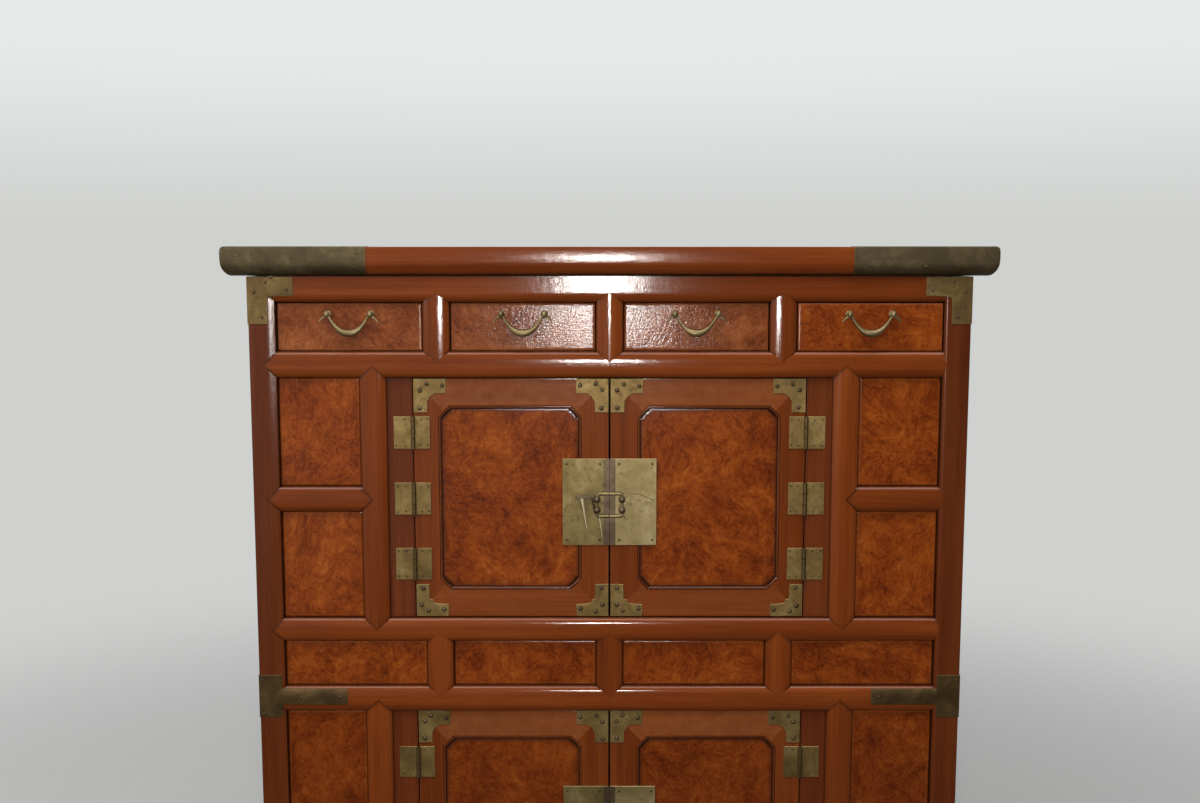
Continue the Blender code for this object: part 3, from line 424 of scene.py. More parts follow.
class Shape:
    """Mesh in the making, gathered from closed forms."""

    def __init__(self) -> None:
        """Start with nothing."""
        self.verts: list[Vector] = []
        self.faces: list[tuple[int, ...]] = []
        self.grain: list[Vector] = []
        self.grime: list[float] = []
        self.wear: list[float] = []

    @staticmethod
    def shift() -> Vector:
        """Place in the log that a new piece of wood is taken from."""
        return Vector([CHANCE.uniform(-4, 4) for _ in range(3)])

    def spots(self, spots: Iterable[Spot], shift: Vector) -> int:
        """Add vertices.

        Args:
            spots: The vertices in order.
            shift: Place in the log of the wood that they belong to.

        Returns:
            Number of the first of them.
        """
        first = len(self.verts)
        for spot in spots:
            self.verts.append(spot.place)
            self.grain.append(Vector(spot.grain) + shift)
            self.grime.append(spot.grime)
            self.wear.append(spot.wear)
        return first

    def rings(self, rings: Sequence[Sequence[Spot]], loop: bool = False) -> None:
        """Closed form through a row of rings with the same number of vertices.

        Args:
            rings: The rings in order.
            loop: Whether the last ring joins the first instead of both being capped.
        """
        shift = self.shift()
        starts = [self.spots(ring, shift) for ring in rings]
        count = len(rings[0])
        pairs = list(zip(starts, starts[1:]))
        if loop:
            pairs.append((starts[-1], starts[0]))
        for a, b in pairs:
            for i in range(count):
                j = (i + 1) % count
                self.faces.append((a + i, a + j, b + j, b + i))
        if not loop:
            self.faces += [tuple(range(start, start + count)) for start in (starts[0], starts[-1])]

    def take(self, work: bmesh.types.BMesh, spots: Iterable[Spot]) -> None:
        """Add a worked mesh and free it.

        Args:
            work: The mesh.
            spots: Its vertices in order.
        """
        first = self.spots(spots, self.shift())
        self.faces += [tuple(first + vert.index for vert in face.verts) for face in work.faces]
        work.free()

    def moulding(self, lay: Lay, start: float, end: float, half: float, depth: float,
                 section: Callable[[float], float] = crown) -> None:
        """Round-topped bar whose pointed ends mitre into the bars that cross it.

        Args:
            lay: Frame of the bar, with its edges at height 0.
            start: Place along it where its edges begin.
            end: Place along it where its edges end.
            half: Half its width.
            depth: How far it goes behind its edges.
            section: Height at a share of its half width.
        """
        steps = 24
        shares = [math.sin(math.pi * (i / steps - 0.5)) for i in range(steps + 1)]
        # Distance from a mitre, and the darkening there: soiling in the joint and painted shade in its
        # crease.
        near = ((0.0, 0.95), (0.0012, 0.74), (0.0032, 0.42), (0.008, 0.10), (0.013, 0.0))
        rows = [(0, gap, dirt) for gap, dirt in near] + [(1, gap, dirt) for gap, dirt in reversed(near)]
        rings = []
        for last, gap, dirt in rows:
            ring = []
            for share in shares:
                reach = half * (1 - abs(share))
                s = end + reach - gap if last else start - reach + gap
                u, h = half * share, section(share)
                # Flanks darkened towards the edges: soiling and painted shade where the bar meets the panels.
                edge = 0.75 * max(0.0, (abs(share) - 0.84) / 0.16) ** 1.5
                ring.append(Spot(lay.at(s, u, h), (s, u, h), max(edge, dirt)))
            s = end - gap if last else start + gap
            rings.append(ring + [Spot(lay.at(s, u, -depth), (s, u, -depth), 1.0) for u in (half, -half)])
        self.rings(rings)

    def prism(self, lay: Lay, path: Sequence[Vector], levels: Sequence[Level], turned: bool = False,
              inset: Callable[[Sequence[Vector], float], list[Vector]] = inset_path) -> None:
        """Form whose outline is inset step by step, capped at both ends.

        Args:
            lay: Frame in which the outline is drawn along and across.
            path: Outline that runs counterclockwise.
            levels: Steps from its back to its front.
            turned: Whether the grain runs across instead of along.
            inset: How the outline is made smaller.
        """
        rings = []
        for distance, height, grime, wear in levels:
            rings.append([])
            for s, u in inset(path, distance):
                grain = (u, s, height) if turned else (s, u, height)
                rings[-1].append(Spot(lay.at(s, u, height), grain, grime, wear))
        self.rings(rings)

    def trim(self, lay: Lay, path: Sequence[Vector], levels: Sequence[Level]) -> None:
        """Closed strip that follows an outline, such as a bead.

        Args:
            lay: Frame in which the outline is drawn.
            path: Outline that runs counterclockwise.
            levels: Section of the strip, as insets and heights.
        """
        rings = []
        for distance, height, grime, wear in levels:
            length = 0.0
            rings.append([])
            moved = inset_path(path, distance)
            for i, point in enumerate(moved):
                length += (point - moved[i - 1]).length if i else 0.0
                rings[-1].append(Spot(lay.at(*point, height), (length, distance, height), grime, wear))
        self.rings(rings, loop=True)

    def board(self, low: Sequence[float], high: Sequence[float], along: int, soft: float,
              dirt: float = 0.0) -> None:
        """Square board with softened edges.

        Args:
            low: Corner of the board.
            high: Corner across from it.
            along: Axis that its grain follows, 0 to 2.
            soft: Size of the softened edges.
            dirt: Darkening along its edges.
        """
        a = Vector([min(p, q) for p, q in zip(low, high)])
        b = Vector([max(p, q) for p, q in zip(low, high)])
        work = bmesh.new()
        bmesh.ops.create_cube(work, size=1.0)
        bmesh.ops.scale(work, vec=b - a, verts=work.verts)
        bmesh.ops.translate(work, vec=(a + b) / 2, verts=work.verts)
        bmesh.ops.bevel(work, geom=work.edges[:], offset=soft, segments=2, profile=0.5, affect="EDGES")
        rim = min(6 * MM, min(b - a) / 4)
        broad = sorted(work.faces, key=lambda face: face.calc_area())[-6:]
        bmesh.ops.inset_individual(work, faces=broad, thickness=rim)
        work.verts.index_update()
        others = [axis for axis in range(3) if axis != along]
        spots = []
        for vert in work.verts:
            gaps = sorted(min(vert.co[i] - a[i], b[i] - vert.co[i]) for i in range(3))
            grain = (vert.co[along], vert.co[others[0]], vert.co[others[1]])
            edge = max(0.0, 1 - gaps[1] / rim)
            spots.append(Spot(vert.co.copy(), grain, dirt * edge, 1.0 if gaps[0] > 1e-6 else 0.0))
        self.take(work, spots)

    def plate(self, lay: Lay, path: Sequence[Vector], thickness: float,
              drape: Callable[[float, float], float] | None = None) -> None:
        """Sheet of metal with a dressed edge, bent over what it lies on.

        Args:
            lay: Frame in which the outline is drawn, on the face that carries the sheet.
            path: Outline that runs counterclockwise.
            thickness: Thickness of the sheet.
            drape: Height of the carrying face at a place along and across, if it isn't flat.
        """
        soft = min(0.5 * MM, thickness * 0.5)
        levels = (Level(0, 0, 0.8), Level(0, thickness - soft, 0.2, 1.0), Level(soft, thickness, 0, 1.0),
                  Level(2.2 * MM, thickness))
        if drape is None:
            self.prism(lay, path, levels)
            return
        flat = Shape()
        flat.prism(Lay(Vector(), X, Y, Z), path, levels)
        work = bmesh.new()
        keep = work.verts.layers.float_vector.new("keep")
        made = []
        for place, grime, wear in zip(flat.verts, flat.grime, flat.wear):
            vert = work.verts.new(place)
            vert[keep] = Vector((grime, wear, 0))
            made.append(vert)
        for face in flat.faces:
            work.faces.new([made[i] for i in face])
        step = 2.5 * MM
        for axis in range(2):
            low = min(point[axis] for point in path)
            high = max(point[axis] for point in path)
            for i in range(1, int((high - low) / step) + 1):
                centre, normal = Vector(), Vector()
                centre[axis], normal[axis] = low + i * step, 1.0
                bmesh.ops.bisect_plane(work, geom=[*work.verts, *work.edges, *work.faces], dist=1e-7,
                                       plane_co=centre, plane_no=normal)
        work.verts.index_update()
        spots = []
        for vert in work.verts:
            u, v, h = vert.co
            spots.append(Spot(lay.at(u, v, h + drape(u, v)), vert.co.copy(), vert[keep][0], vert[keep][1]))
        self.take(work, spots)

    def tube(self, points: Sequence[Vector], radii: Sequence[float], sides: int, dirt: float = 0.0,
             shade: Sequence[float] = (0, 0, 0), wear: float = 0.4) -> None:
        """Round bar through points, with a radius at each of them.

        Args:
            points: Places of its middle line.
            radii: Radius at each place.
            sides: Number of sides.
            dirt: Darkening all over it: soiling, and on the hinge barrels painted shade.
            shade: Direction of the side that is painted dark, a painted shade on the side away from the
                light.
            wear: How far it is rubbed bright.
        """
        rings = []
        side = (points[1] - points[0]).normalized().orthogonal().normalized()
        length = 0.0
        for i, (place, radius) in enumerate(zip(points, radii)):
            way = (points[min(i + 1, len(points) - 1)] - points[max(i - 1, 0)]).normalized()
            side = (side - way * side.dot(way)).normalized()
            up = way.cross(side)
            length += (place - points[i - 1]).length if i else 0.0
            ring = []
            for k in range(sides):
                a = math.tau * k / sides
                swing = side * math.cos(a) + up * math.sin(a)
                # Painted shade: the side that faces the shade direction is darkened.
                grime = max(dirt, min(1.0, swing.dot(shade)))
                ring.append(Spot(place + swing * radius, (length, a * radius, 0), grime, wear))
            rings.append(ring)
        self.rings(rings)

    def turned(self, origin: Vector, axis: Vector, section: Sequence[Pair], dirt: float = 0.0) -> None:
        """Turned form: rings about an axis, given by the place along it and the radius of each."""
        points = [origin + axis.normalized() * place for place, _ in section]
        self.tube(points, [max(radius, 1e-5) for _, radius in section], 16, dirt)

    def ball(self, centre: Vector, radius: float, axis: Vector, flat: float = 1.0) -> None:
        """Round head with its poles on an axis, and a height that is a share of its width."""
        turns = [math.pi * i / 10 for i in range(11)]
        self.turned(centre, axis, [(-radius * flat * math.cos(a), radius * math.sin(a)) for a in turns])

    def make(self, name: str, coat: Coat, body: str = CASE, nodes: Sequence[str] = ()) -> None:
        """Turn the shape into a piece that rides on a body.

        Args:
            name: Name of the piece.
            coat: Its material; the finish that the coat names is not set on the piece.
            body: Body of the frame that it moves with.
            nodes: Nodes of the frame that it stands for.
        """
        mesh = bpy.data.meshes.new(name)
        mesh.from_pydata(self.verts, [], self.faces)
        for label, values in (("grime", self.grime), ("wear", self.wear)):
            mesh.attributes.new(label, "FLOAT", "POINT").data.foreach_set("value", values)
        flat = [value for place in self.grain for value in place]
        mesh.attributes.new("grain", "FLOAT_VECTOR", "POINT").data.foreach_set("vector", flat)
        work = bmesh.new()
        work.from_mesh(mesh)
        bmesh.ops.recalc_face_normals(work, faces=work.faces)
        work.to_mesh(mesh)
        work.free()
        mesh.shade_smooth()
        mesh.set_sharp_from_angle(angle=math.radians(38))
        mesh.materials.append(coat.material)
        piece = linked(name, mesh)
        even = piece.modifiers.new("even_shading", "WEIGHTED_NORMAL")
        even.keep_sharp = True
        settle(piece)
        seat(piece, body, nodes)


def linked(name: str, data: bpy.types.ID) -> bpy.types.Object:
    """New object of the scene.

    Args:
        name: Its name.
        data: Its mesh, light or camera.

    Returns:
        The object.
    """
    made = bpy.data.objects.new(name, data)
    bpy.context.scene.collection.objects.link(made)
    return made


def settle(piece: bpy.types.Object) -> None:
    """Work a piece's modifiers into its mesh and remove them.

    Args:
        piece: The piece.
    """
    graph = bpy.context.evaluated_depsgraph_get()
    mesh = bpy.data.meshes.new_from_object(piece.evaluated_get(graph))
    old = piece.data
    piece.modifiers.clear()
    piece.data = mesh
    bpy.data.meshes.remove(old)
    mesh.name = piece.name


def seat(piece: bpy.types.Object, body: str, nodes: Sequence[str] = ()) -> None:
    """Let a finished piece ride on a body.

    Args:
        piece: The piece, in place.
        body: Body of the frame.
        nodes: Nodes of the frame that it stands for.
    """
    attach(piece, body)
    if nodes:
        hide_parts(*nodes)
    LOG.info("%s rides on %s, %d faces", piece.name, body, len(piece.data.polygons))


def operator(operation: str, reflected: bool = False) -> Callable[["Sock", "Sock | float"], "Sock"]:
    """Operator of a socket.

    Args:
        operation: Operation of the math node that it adds.
        reflected: Whether the socket stands on the right.

    Returns:
        The operator, as a method.
    """
    def apply(here: "Sock", other: "Sock | float") -> "Sock":
        """Add the math node."""
        a, b = (other, here) if reflected else (here, other)
        return here.wiring.math(operation, a, b)

    return apply


@dataclass(frozen=True)
class Sock:
    """Output of a node that takes part in Python expressions."""

    wiring: "Wiring"
    node: bpy.types.Node
    output: str | int = 0

    __add__, __radd__ = operator("ADD"), operator("ADD", True)
    __sub__, __rsub__ = operator("SUBTRACT"), operator("SUBTRACT", True)
    __mul__, __rmul__ = operator("MULTIPLY"), operator("MULTIPLY", True)

    @property
    def socket(self) -> bpy.types.NodeSocket:
        """The output itself."""
        return self.node.outputs[self.output]

    def __getitem__(self, output: str | int) -> "Sock":
        """Another output of the same node."""
        return Sock(self.wiring, self.node, output)

    def ease(self, low: float, high: float) -> "Sock":
        """Smooth step from 0 at low to 1 at high."""
        return self.wiring.node("ShaderNodeMapRange", {"interpolation_type": "SMOOTHSTEP"},
                                {"Value": self, "From Min": low, "From Max": high})["Result"]


class Wiring:
    """Node tree of a material, of the world or of a modifier, written as expressions."""

    def __init__(self, tree: bpy.types.NodeTree) -> None:
        """Start from an empty tree."""
        self.tree = tree
        tree.nodes.clear()

    def node(self, kind: str, settings: dict[str, Any] | None = None,
             values: dict[str | int, Any] | None = None) -> Sock:
        """Add a node.

        Args:
            kind: Type of the node.
            settings: Its settings, set first; stops are those of a colour ramp.
            values: Value or link of each of its inputs.

        Returns:
            Its first output.
        """
        made = self.tree.nodes.new(kind)
        for name, value in (settings or {}).items():
            if name == "stops":
                ramp = made.color_ramp
                while len(ramp.elements) < len(value):
                    ramp.elements.new(0.5)
                for element, (place, colour) in zip(ramp.elements, value):
                    element.position = place
                    element.color = (*colour, 1.0)
            else:
                setattr(made, name, value)
        for key, value in (values or {}).items():
            if isinstance(value, Sock):
                self.tree.links.new(value.socket, made.inputs[key])
            else:
                made.inputs[key].default_value = value
        return Sock(self, made)

    def math(self, operation: str, a: Sock | float, b: Sock | float) -> Sock:
        """Sum or the like of two values."""
        return self.node("ShaderNodeMath", {"operation": operation}, {0: a, 1: b})

    def vectors(self, operation: str, a: Sock, b: Sock | Sequence[float] | None = None) -> Sock:
        """Sum, length or the like of one or two vectors."""
        values = {0: a} if b is None else {0: a, 1: b}
        return self.node("ShaderNodeVectorMath", {"operation": operation}, values)

    def attribute(self, name: str, output: str = "Fac") -> Sock:
        """Attribute of the mesh."""
        return self.node("ShaderNodeAttribute", {"attribute_name": name})[output]

    def marks(self) -> tuple[Sock, Sock]:
        """Soiling with painted shade, and rubbing with painted highlight, of the mesh."""
        return self.attribute("grime"), self.attribute("wear")

    def place(self) -> Sock:
        """Object coordinates."""
        return self.node("ShaderNodeTexCoord")["Object"]

    def parts(self, vector: Sock) -> Sock:
        """Parts of a vector, which are the outputs X, Y and Z."""
        return self.node("ShaderNodeSeparateXYZ", None, {0: vector})

    def stretched(self, vector: Sock, scale: Sequence[float], turn: Sequence[float] = (0, 0, 0)) -> Sock:
        """Coordinates turned and scaled."""
        return self.node("ShaderNodeMapping", None, {"Vector": vector, "Rotation": turn, "Scale": scale})

    def noise(self, vector: Sock, scale: float | tuple[float, ...], detail: float = 2.0, rough: float = 0.5,
              twist: float = 0.0) -> Sock:
        """Noise.

        Args:
            vector: Coordinates.
            scale: Its scale, or its scale along each axis.
            detail: How many finer layers it has.
            rough: How strong they are.
            twist: How far it is distorted.

        Returns:
            The noise as a value; the node's output 1 has it as a colour.
        """
        if isinstance(scale, tuple):
            vector, scale = self.stretched(vector, scale), 1.0
        return self.node("ShaderNodeTexNoise", None, {"Vector": vector, "Scale": scale, "Detail": detail,
                                                      "Roughness": rough, "Distortion": twist})

    def warped(self, vector: Sock, scale: float, amount: float) -> Sock:
        """Coordinates pushed about by a coloured noise."""
        push = self.noise(vector, scale)[1]
        return self.node("ShaderNodeVectorMath", {"operation": "MULTIPLY_ADD"},
                         {0: push, 1: (amount,) * 3, 2: vector})

    def mix(self, factor: Sock | float, a: Sock | Sequence[float], b: Sock | Sequence[float]) -> Sock:
        """Mix of two colours."""
        a, b = (c if isinstance(c, Sock) else (*c, 1.0) for c in (a, b))
        return self.node("ShaderNodeMix", {"data_type": "RGBA"}, {0: factor, 6: a, 7: b})[2]

    def blend(self, factor: Sock, a: Sock, b: Sock) -> Sock:
        """Mix of two surfaces or backgrounds."""
        return self.node("ShaderNodeMixShader", None, {0: factor, 1: a, 2: b})

    def ramp(self, value: Sock, *stops: tuple[float, Colour]) -> Sock:
        """Colour ramp."""
        return self.node("ShaderNodeValToRGB", {"stops": stops}, {0: value})

    def close(self, surface: Sock) -> None:
        """Hand a surface to the material's output."""
        self.node("ShaderNodeOutputMaterial", None, {"Surface": surface})

    def paint(self, colour: Sock, rough: Sock, relief: Sock, bump: float, **others: float) -> None:
        """Close the tree with a principled surface.

        Args:
            colour: Its colour.
            rough: Its roughness.
            relief: Height of its relief.
            bump: Strength of the relief.
            others: Values of its other inputs, with underscores for spaces.
        """
        normal = self.node("ShaderNodeBump", None, {"Height": relief, "Strength": bump, "Distance": 0.8 * MM})
        values = {name.replace("_", " "): value for name, value in others.items()}
        self.close(self.node("ShaderNodeBsdfPrincipled", None, {
            "Base Color": colour, "Roughness": rough, "Normal": normal, **values}))


@dataclass(frozen=True)
class Finish:
    """Finish of a surface, which its kinds wire up."""

    name: str
    slot: ClassVar[str] = ""

    def build(self) -> Coat:
        """Make the material.

        Returns:
            The material, with its finish of the record.
        """
        material = bpy.data.materials.new(self.name)
        material.use_nodes = True
        self.wire(Wiring(material.node_tree))
        return Coat(material, self.slot)

    def wire(self, shader: Wiring) -> None:
        """Lay the nodes of the material in its tree."""
        raise NotImplementedError


@dataclass(frozen=True)
class Lacquer(Finish):
    """Straight-grained wood under an old dark lacquer."""

    name: str = "lacquered_frame"
    dark: Colour = (0.082, 0.0160, 0.0030)
    middle: Colour = (0.152, 0.0318, 0.0054)
    light: Colour = (0.214, 0.0525, 0.0094)
    # Colour of soiling, also used for painted shade in joints, recesses and under the top board.
    dirt: Colour = (0.016, 0.0065, 0.0036)
    worn: Colour = (0.270, 0.0950, 0.0330)
    rough: float = 0.090
    bump: float = 0.20
    grit: float = 0.25
    slot: ClassVar[str] = "frame_wood"

    def wire(self, shader: Wiring) -> None:
        """Lay the nodes of the material.

        Args:
            shader: Tree of the material.
        """
        grain = shader.attribute("grain", "Vector")
        grime, wear = shader.marks()
        tone = shader.noise(grain, (2.4, 11, 11), 3.0)
        streak = shader.noise(grain, (2.0, 85, 85), 4.0, 0.6)
        fibre = shader.noise(grain, (14, 480, 480), 3.0, 0.6)
        pore = shader.noise(grain, (55, 1500, 1500)).ease(0.60, 0.72)
        ripple = shader.noise(grain, (260, 42, 42))
        patch = shader.noise(grain, 60.0, 3.0)
        peel = shader.noise(grain, 430.0)
        dash = shader.noise(grain, (60, 210, 210))
        figure = tone * 0.38 + streak * 0.40 + fibre * 0.22
        wood = shader.ramp(figure, (0.30, self.dark), (0.50, self.middle), (0.68, self.light))
        wood = shader.mix(pore * 0.45, wood, self.dark)
        # Rubbed lighter in places, and along the door beads' crests a painted highlight.
        wood = shader.mix(wear * 0.45 * patch, wood, self.worn)
        # Darkening: soiling, and painted shade in joints, recesses, gaps and under the top board.
        stain_and_shade = (grime * (0.55 + patch * 0.75)).ease(0.0, 1.0)
        wood = shader.mix(stain_and_shade * 0.9, wood, self.dirt)
        relief = ripple * 0.15 + dash * 0.60 + patch * 0.40 + peel * self.grit
        shader.paint(wood, self.rough + fibre * 0.04, relief, self.bump, Specular_IOR_Level=0.27)


@dataclass(frozen=True)
class Burl(Finish):
    """Burl veneer: swirling feathered figure with dark clusters under lacquer."""

    name: str = "burl_veneer"
    dark: Colour = (0.066, 0.0112, 0.0024)
    middle: Colour = (0.144, 0.0256, 0.0040)
    bright: Colour = (0.216, 0.0452, 0.0062)
    glow: Colour = (0.310, 0.0790, 0.0110)
    # Colour of soiling, also used for painted shade round the panels and drawer fronts.
    dirt: Colour = (0.024, 0.0080, 0.0036)
    rough: float = 0.100
    bump: float = 0.22
    dapple: float = 0.0
    slot: ClassVar[str] = "burl_wood"

    def wire(self, shader: Wiring) -> None:
        """Lay the nodes of the material.

        Args:
            shader: Tree of the material.
        """
        grain = shader.attribute("grain", "Vector")
        grime, wear = shader.marks()
        broad = shader.warped(grain, 8.0, 0.090)
        swirl = shader.warped(broad, 34.0, 0.014)
        cloud = shader.noise(broad, 17.0)
        patch = shader.noise(swirl, 52.0, 4.0, 0.60)
        ray = shader.noise(broad, (150, 150, 15), 3.0, 0.6)
        mottle = shader.noise(swirl, 210.0, 3.0, 0.62)
        fleck = shader.noise(grain, 420.0, 2.0, 0.6)
        cluster = shader.noise(swirl, 88.0, 3.0, 0.6, 0.4).ease(0.57, 0.70)
        value = cloud * 0.25 + patch * 0.26 + ray * 0.18 + mottle * 0.20 + fleck * 0.11
        wood = shader.ramp(value, (0.38, self.dark), (0.465, self.middle), (0.54, self.bright),
                           (0.63, self.glow))
        wood = shader.mix(cluster * 0.42, wood, self.dark)
        # Painted shade: the burl darkens towards the bottom, below about 0.74 m, for the light that falls off
        # lower down.
        height = shader.parts(shader.place())["Z"]
        wood = shader.mix((1.0 - height.ease(0.52, 0.74)) * 0.30, wood, self.dark)
        wood = shader.mix(wear * 0.35, wood, self.glow)
        # Darkening: soiling, and painted shade round the sunk panels and the drawer fronts.
        stain_and_shade = (grime * (0.6 + mottle * 0.7)).ease(0.0, 1.0)
        wood = shader.mix(stain_and_shade * 0.9, wood, self.dirt)
        peel = shader.noise(grain, 430.0)
        scratch = shader.noise(grain, (70, 520, 520), 3.0, 0.6)
        brush = shader.noise(shader.stretched(swirl, (260, 110, 260), (0, 0.5, 0)), 1.0)
        relief = mottle * 0.55 + patch * 0.5 + peel * 0.35 + scratch * 0.7 + brush * self.dapple
        shader.paint(wood, self.rough + mottle * 0.06, relief, self.bump, Specular_IOR_Level=0.26)


@dataclass(frozen=True)
class BareWood(Finish):
    """Unfinished wood of the inside, the back and the drawer boxes."""

    name: str = "bare_wood"
    dark: Colour = (0.17, 0.090, 0.045)
    light: Colour = (0.36, 0.225, 0.125)
    dirt: Colour = (0.06, 0.032, 0.018)
    slot: ClassVar[str] = "inner_wood"

    def wire(self, shader: Wiring) -> None:
        """Lay the nodes of the material.

        Args:
            shader: Tree of the material.
        """
        grain = shader.attribute("grain", "Vector")
        streak = shader.noise(shader.warped(grain, 3.0, 0.02), (1.6, 60, 60), 4.0, 0.6)
        fibre = shader.noise(grain, (18, 520, 520), 3.0)
        tone = shader.noise(grain, 4.0, 3.0)
        value = streak * 0.55 + tone * 0.25 + fibre * 0.20
        wood = shader.ramp(value, (0.32, self.dark), (0.66, self.light))
        wood = shader.mix(shader.attribute("grime") * 0.6, wood, self.dirt)
        shader.paint(wood, 0.62 + fibre * 0.2, fibre * 0.7 + streak * 0.4, 0.25, Specular_IOR_Level=0.3)


@dataclass(frozen=True)
class Brass(Finish):
    """Hand-beaten brass sheet with patches of tarnish and rubbed edges."""

    name: str = "aged_brass"
    clean: Colour = (0.178, 0.127, 0.042)
    pale: Colour = (0.255, 0.195, 0.082)
    olive: Colour = (0.122, 0.089, 0.028)
    tarnish: Colour = (0.062, 0.041, 0.014)
    metallic: float = 0.65
    rough: float = 0.44
    slot: ClassVar[str] = "aged_brass"

    def wire(self, shader: Wiring) -> None:
        """Lay the nodes of the material.

        Args:
            shader: Tree of the material.
        """
        place = shader.place()
        grime, wear = shader.marks()
        patch = shader.noise(place, 26.0, 4.0, 0.6, 0.6)
        spot = shader.noise(place, 120.0, 4.0, 0.62)
        speck = shader.noise(place, 560.0)
        scratch = shader.noise(shader.stretched(place, (24, 24, 800), (0, 0.9, 0)), 1.0).ease(0.62, 0.76)
        dent = shader.noise(place, 60.0)
        metal = shader.ramp(patch, (0.34, self.olive), (0.50, self.clean), (0.68, self.pale))
        dull = (patch * 0.3 + spot * 0.7).ease(0.50, 0.68)
        metal = shader.mix(dull * 0.45, metal, self.tarnish)
        metal = shader.mix(speck.ease(0.60, 0.74) * 0.22, metal, self.tarnish)
        metal = shader.mix(scratch * 0.30, metal, self.pale)
        metal = shader.mix(wear * 0.40 * spot.ease(0.35, 0.6), metal, self.pale)
        # Darkening: tarnished hollows, and painted shade on the sides of pulls, bails and prongs away from
        # the light and on the hinge barrels.
        metal = shader.mix((grime * 0.9).ease(0.1, 1.0), metal, self.tarnish)
        relief = dent * 0.9 + spot * 0.25 + scratch * 0.1
        shader.paint(metal, self.rough + dull * 0.12 + spot * 0.10, relief, 0.30, Metallic=self.metallic)


def coated(finish: Finish) -> Any:
    """Field that holds the coat of a finish."""
    return field(default_factory=finish.build)


@dataclass
class Finishes:
    """The materials that the pieces share."""

    frame: Coat = coated(Lacquer())
    dark_frame: Coat = coated(Lacquer(
        "dark_lacquered_frame", dark=(0.050, 0.0100, 0.0026), middle=(0.096, 0.0205, 0.0048),
        light=(0.140, 0.0335, 0.0078), rough=0.17, bump=0.34, grit=0.32))
    jamb: Coat = coated(Lacquer(
        "lacquered_jamb", dark=(0.062, 0.0125, 0.0034), middle=(0.114, 0.0245, 0.0066),
        light=(0.160, 0.0390, 0.0098)))
    top: Coat = coated(Lacquer("lacquered_top", rough=0.125, bump=0.24))
    side: Coat = coated(Lacquer("lacquered_side", rough=0.38, bump=0.26))
    burl: Coat = coated(Burl())
    # Paler, greyer copy of the burl for the drawers in line: painted sheen of the lamp.
    rubbed_burl: Coat = coated(Burl(
        "rubbed_burl", dark=(0.072, 0.0165, 0.0052), middle=(0.144, 0.0340, 0.0092),
        bright=(0.205, 0.0575, 0.0160), glow=(0.285, 0.0920, 0.0280), rough=0.080, bump=0.26, dapple=0.45))
    bare: Coat = coated(BareWood())
    brass: Coat = coated(Brass())
    pale_brass: Coat = coated(Brass(
        "pale_brass", clean=(0.262, 0.197, 0.084), pale=(0.345, 0.280, 0.140),
        olive=(0.200, 0.150, 0.058), tarnish=(0.090, 0.060, 0.024)))
    fitting_brass: Coat = coated(Brass(
        "fitting_brass", clean=(0.170, 0.107, 0.030), pale=(0.255, 0.176, 0.063),
        olive=(0.112, 0.071, 0.019), tarnish=(0.054, 0.031, 0.009)))
    dark_brass: Coat = coated(Brass(
        "dark_brass", clean=(0.069, 0.050, 0.021), pale=(0.112, 0.086, 0.039),
        olive=(0.050, 0.037, 0.013), tarnish=(0.030, 0.020, 0.008), rough=0.46))
    brown_brass: Coat = coated(Brass(
        "brown_brass", clean=(0.074, 0.042, 0.011), pale=(0.125, 0.076, 0.023),
        olive=(0.048, 0.027, 0.007), tarnish=(0.024, 0.013, 0.004), rough=0.46))
    dull_brass: Coat = coated(Brass(
        "dull_brass", clean=(0.130, 0.080, 0.024), pale=(0.196, 0.130, 0.045),
        olive=(0.086, 0.054, 0.016), tarnish=(0.042, 0.025, 0.008), rough=0.46))
    pull_brass: Coat = coated(Brass(
        "pull_brass", clean=(0.180, 0.130, 0.055), pale=(0.280, 0.215, 0.105),
        olive=(0.118, 0.088, 0.035), tarnish=(0.050, 0.033, 0.014), rough=0.36))
    pin_brass: Coat = coated(Brass(
        "pin_brass", clean=(0.520, 0.430, 0.240), pale=(0.640, 0.560, 0.370),
        olive=(0.440, 0.350, 0.180), tarnish=(0.022, 0.014, 0.006), metallic=0.2, rough=0.34))
    strip: Coat = coated(Brass(
        "browned_metal", clean=(0.098, 0.064, 0.036), pale=(0.140, 0.096, 0.058),
        olive=(0.074, 0.047, 0.026), tarnish=(0.042, 0.026, 0.015), rough=0.40))
    nail: Coat = coated(Brass(
        "nail_metal", clean=(0.105, 0.069, 0.029), pale=(0.165, 0.117, 0.054),
        olive=(0.066, 0.043, 0.018), tarnish=(0.030, 0.018, 0.008), rough=0.46))


class Head(NamedTuple):
    """Nail head: its place, the way it faces and its radius."""

    place: Vector
    facing: Vector
    radius: float


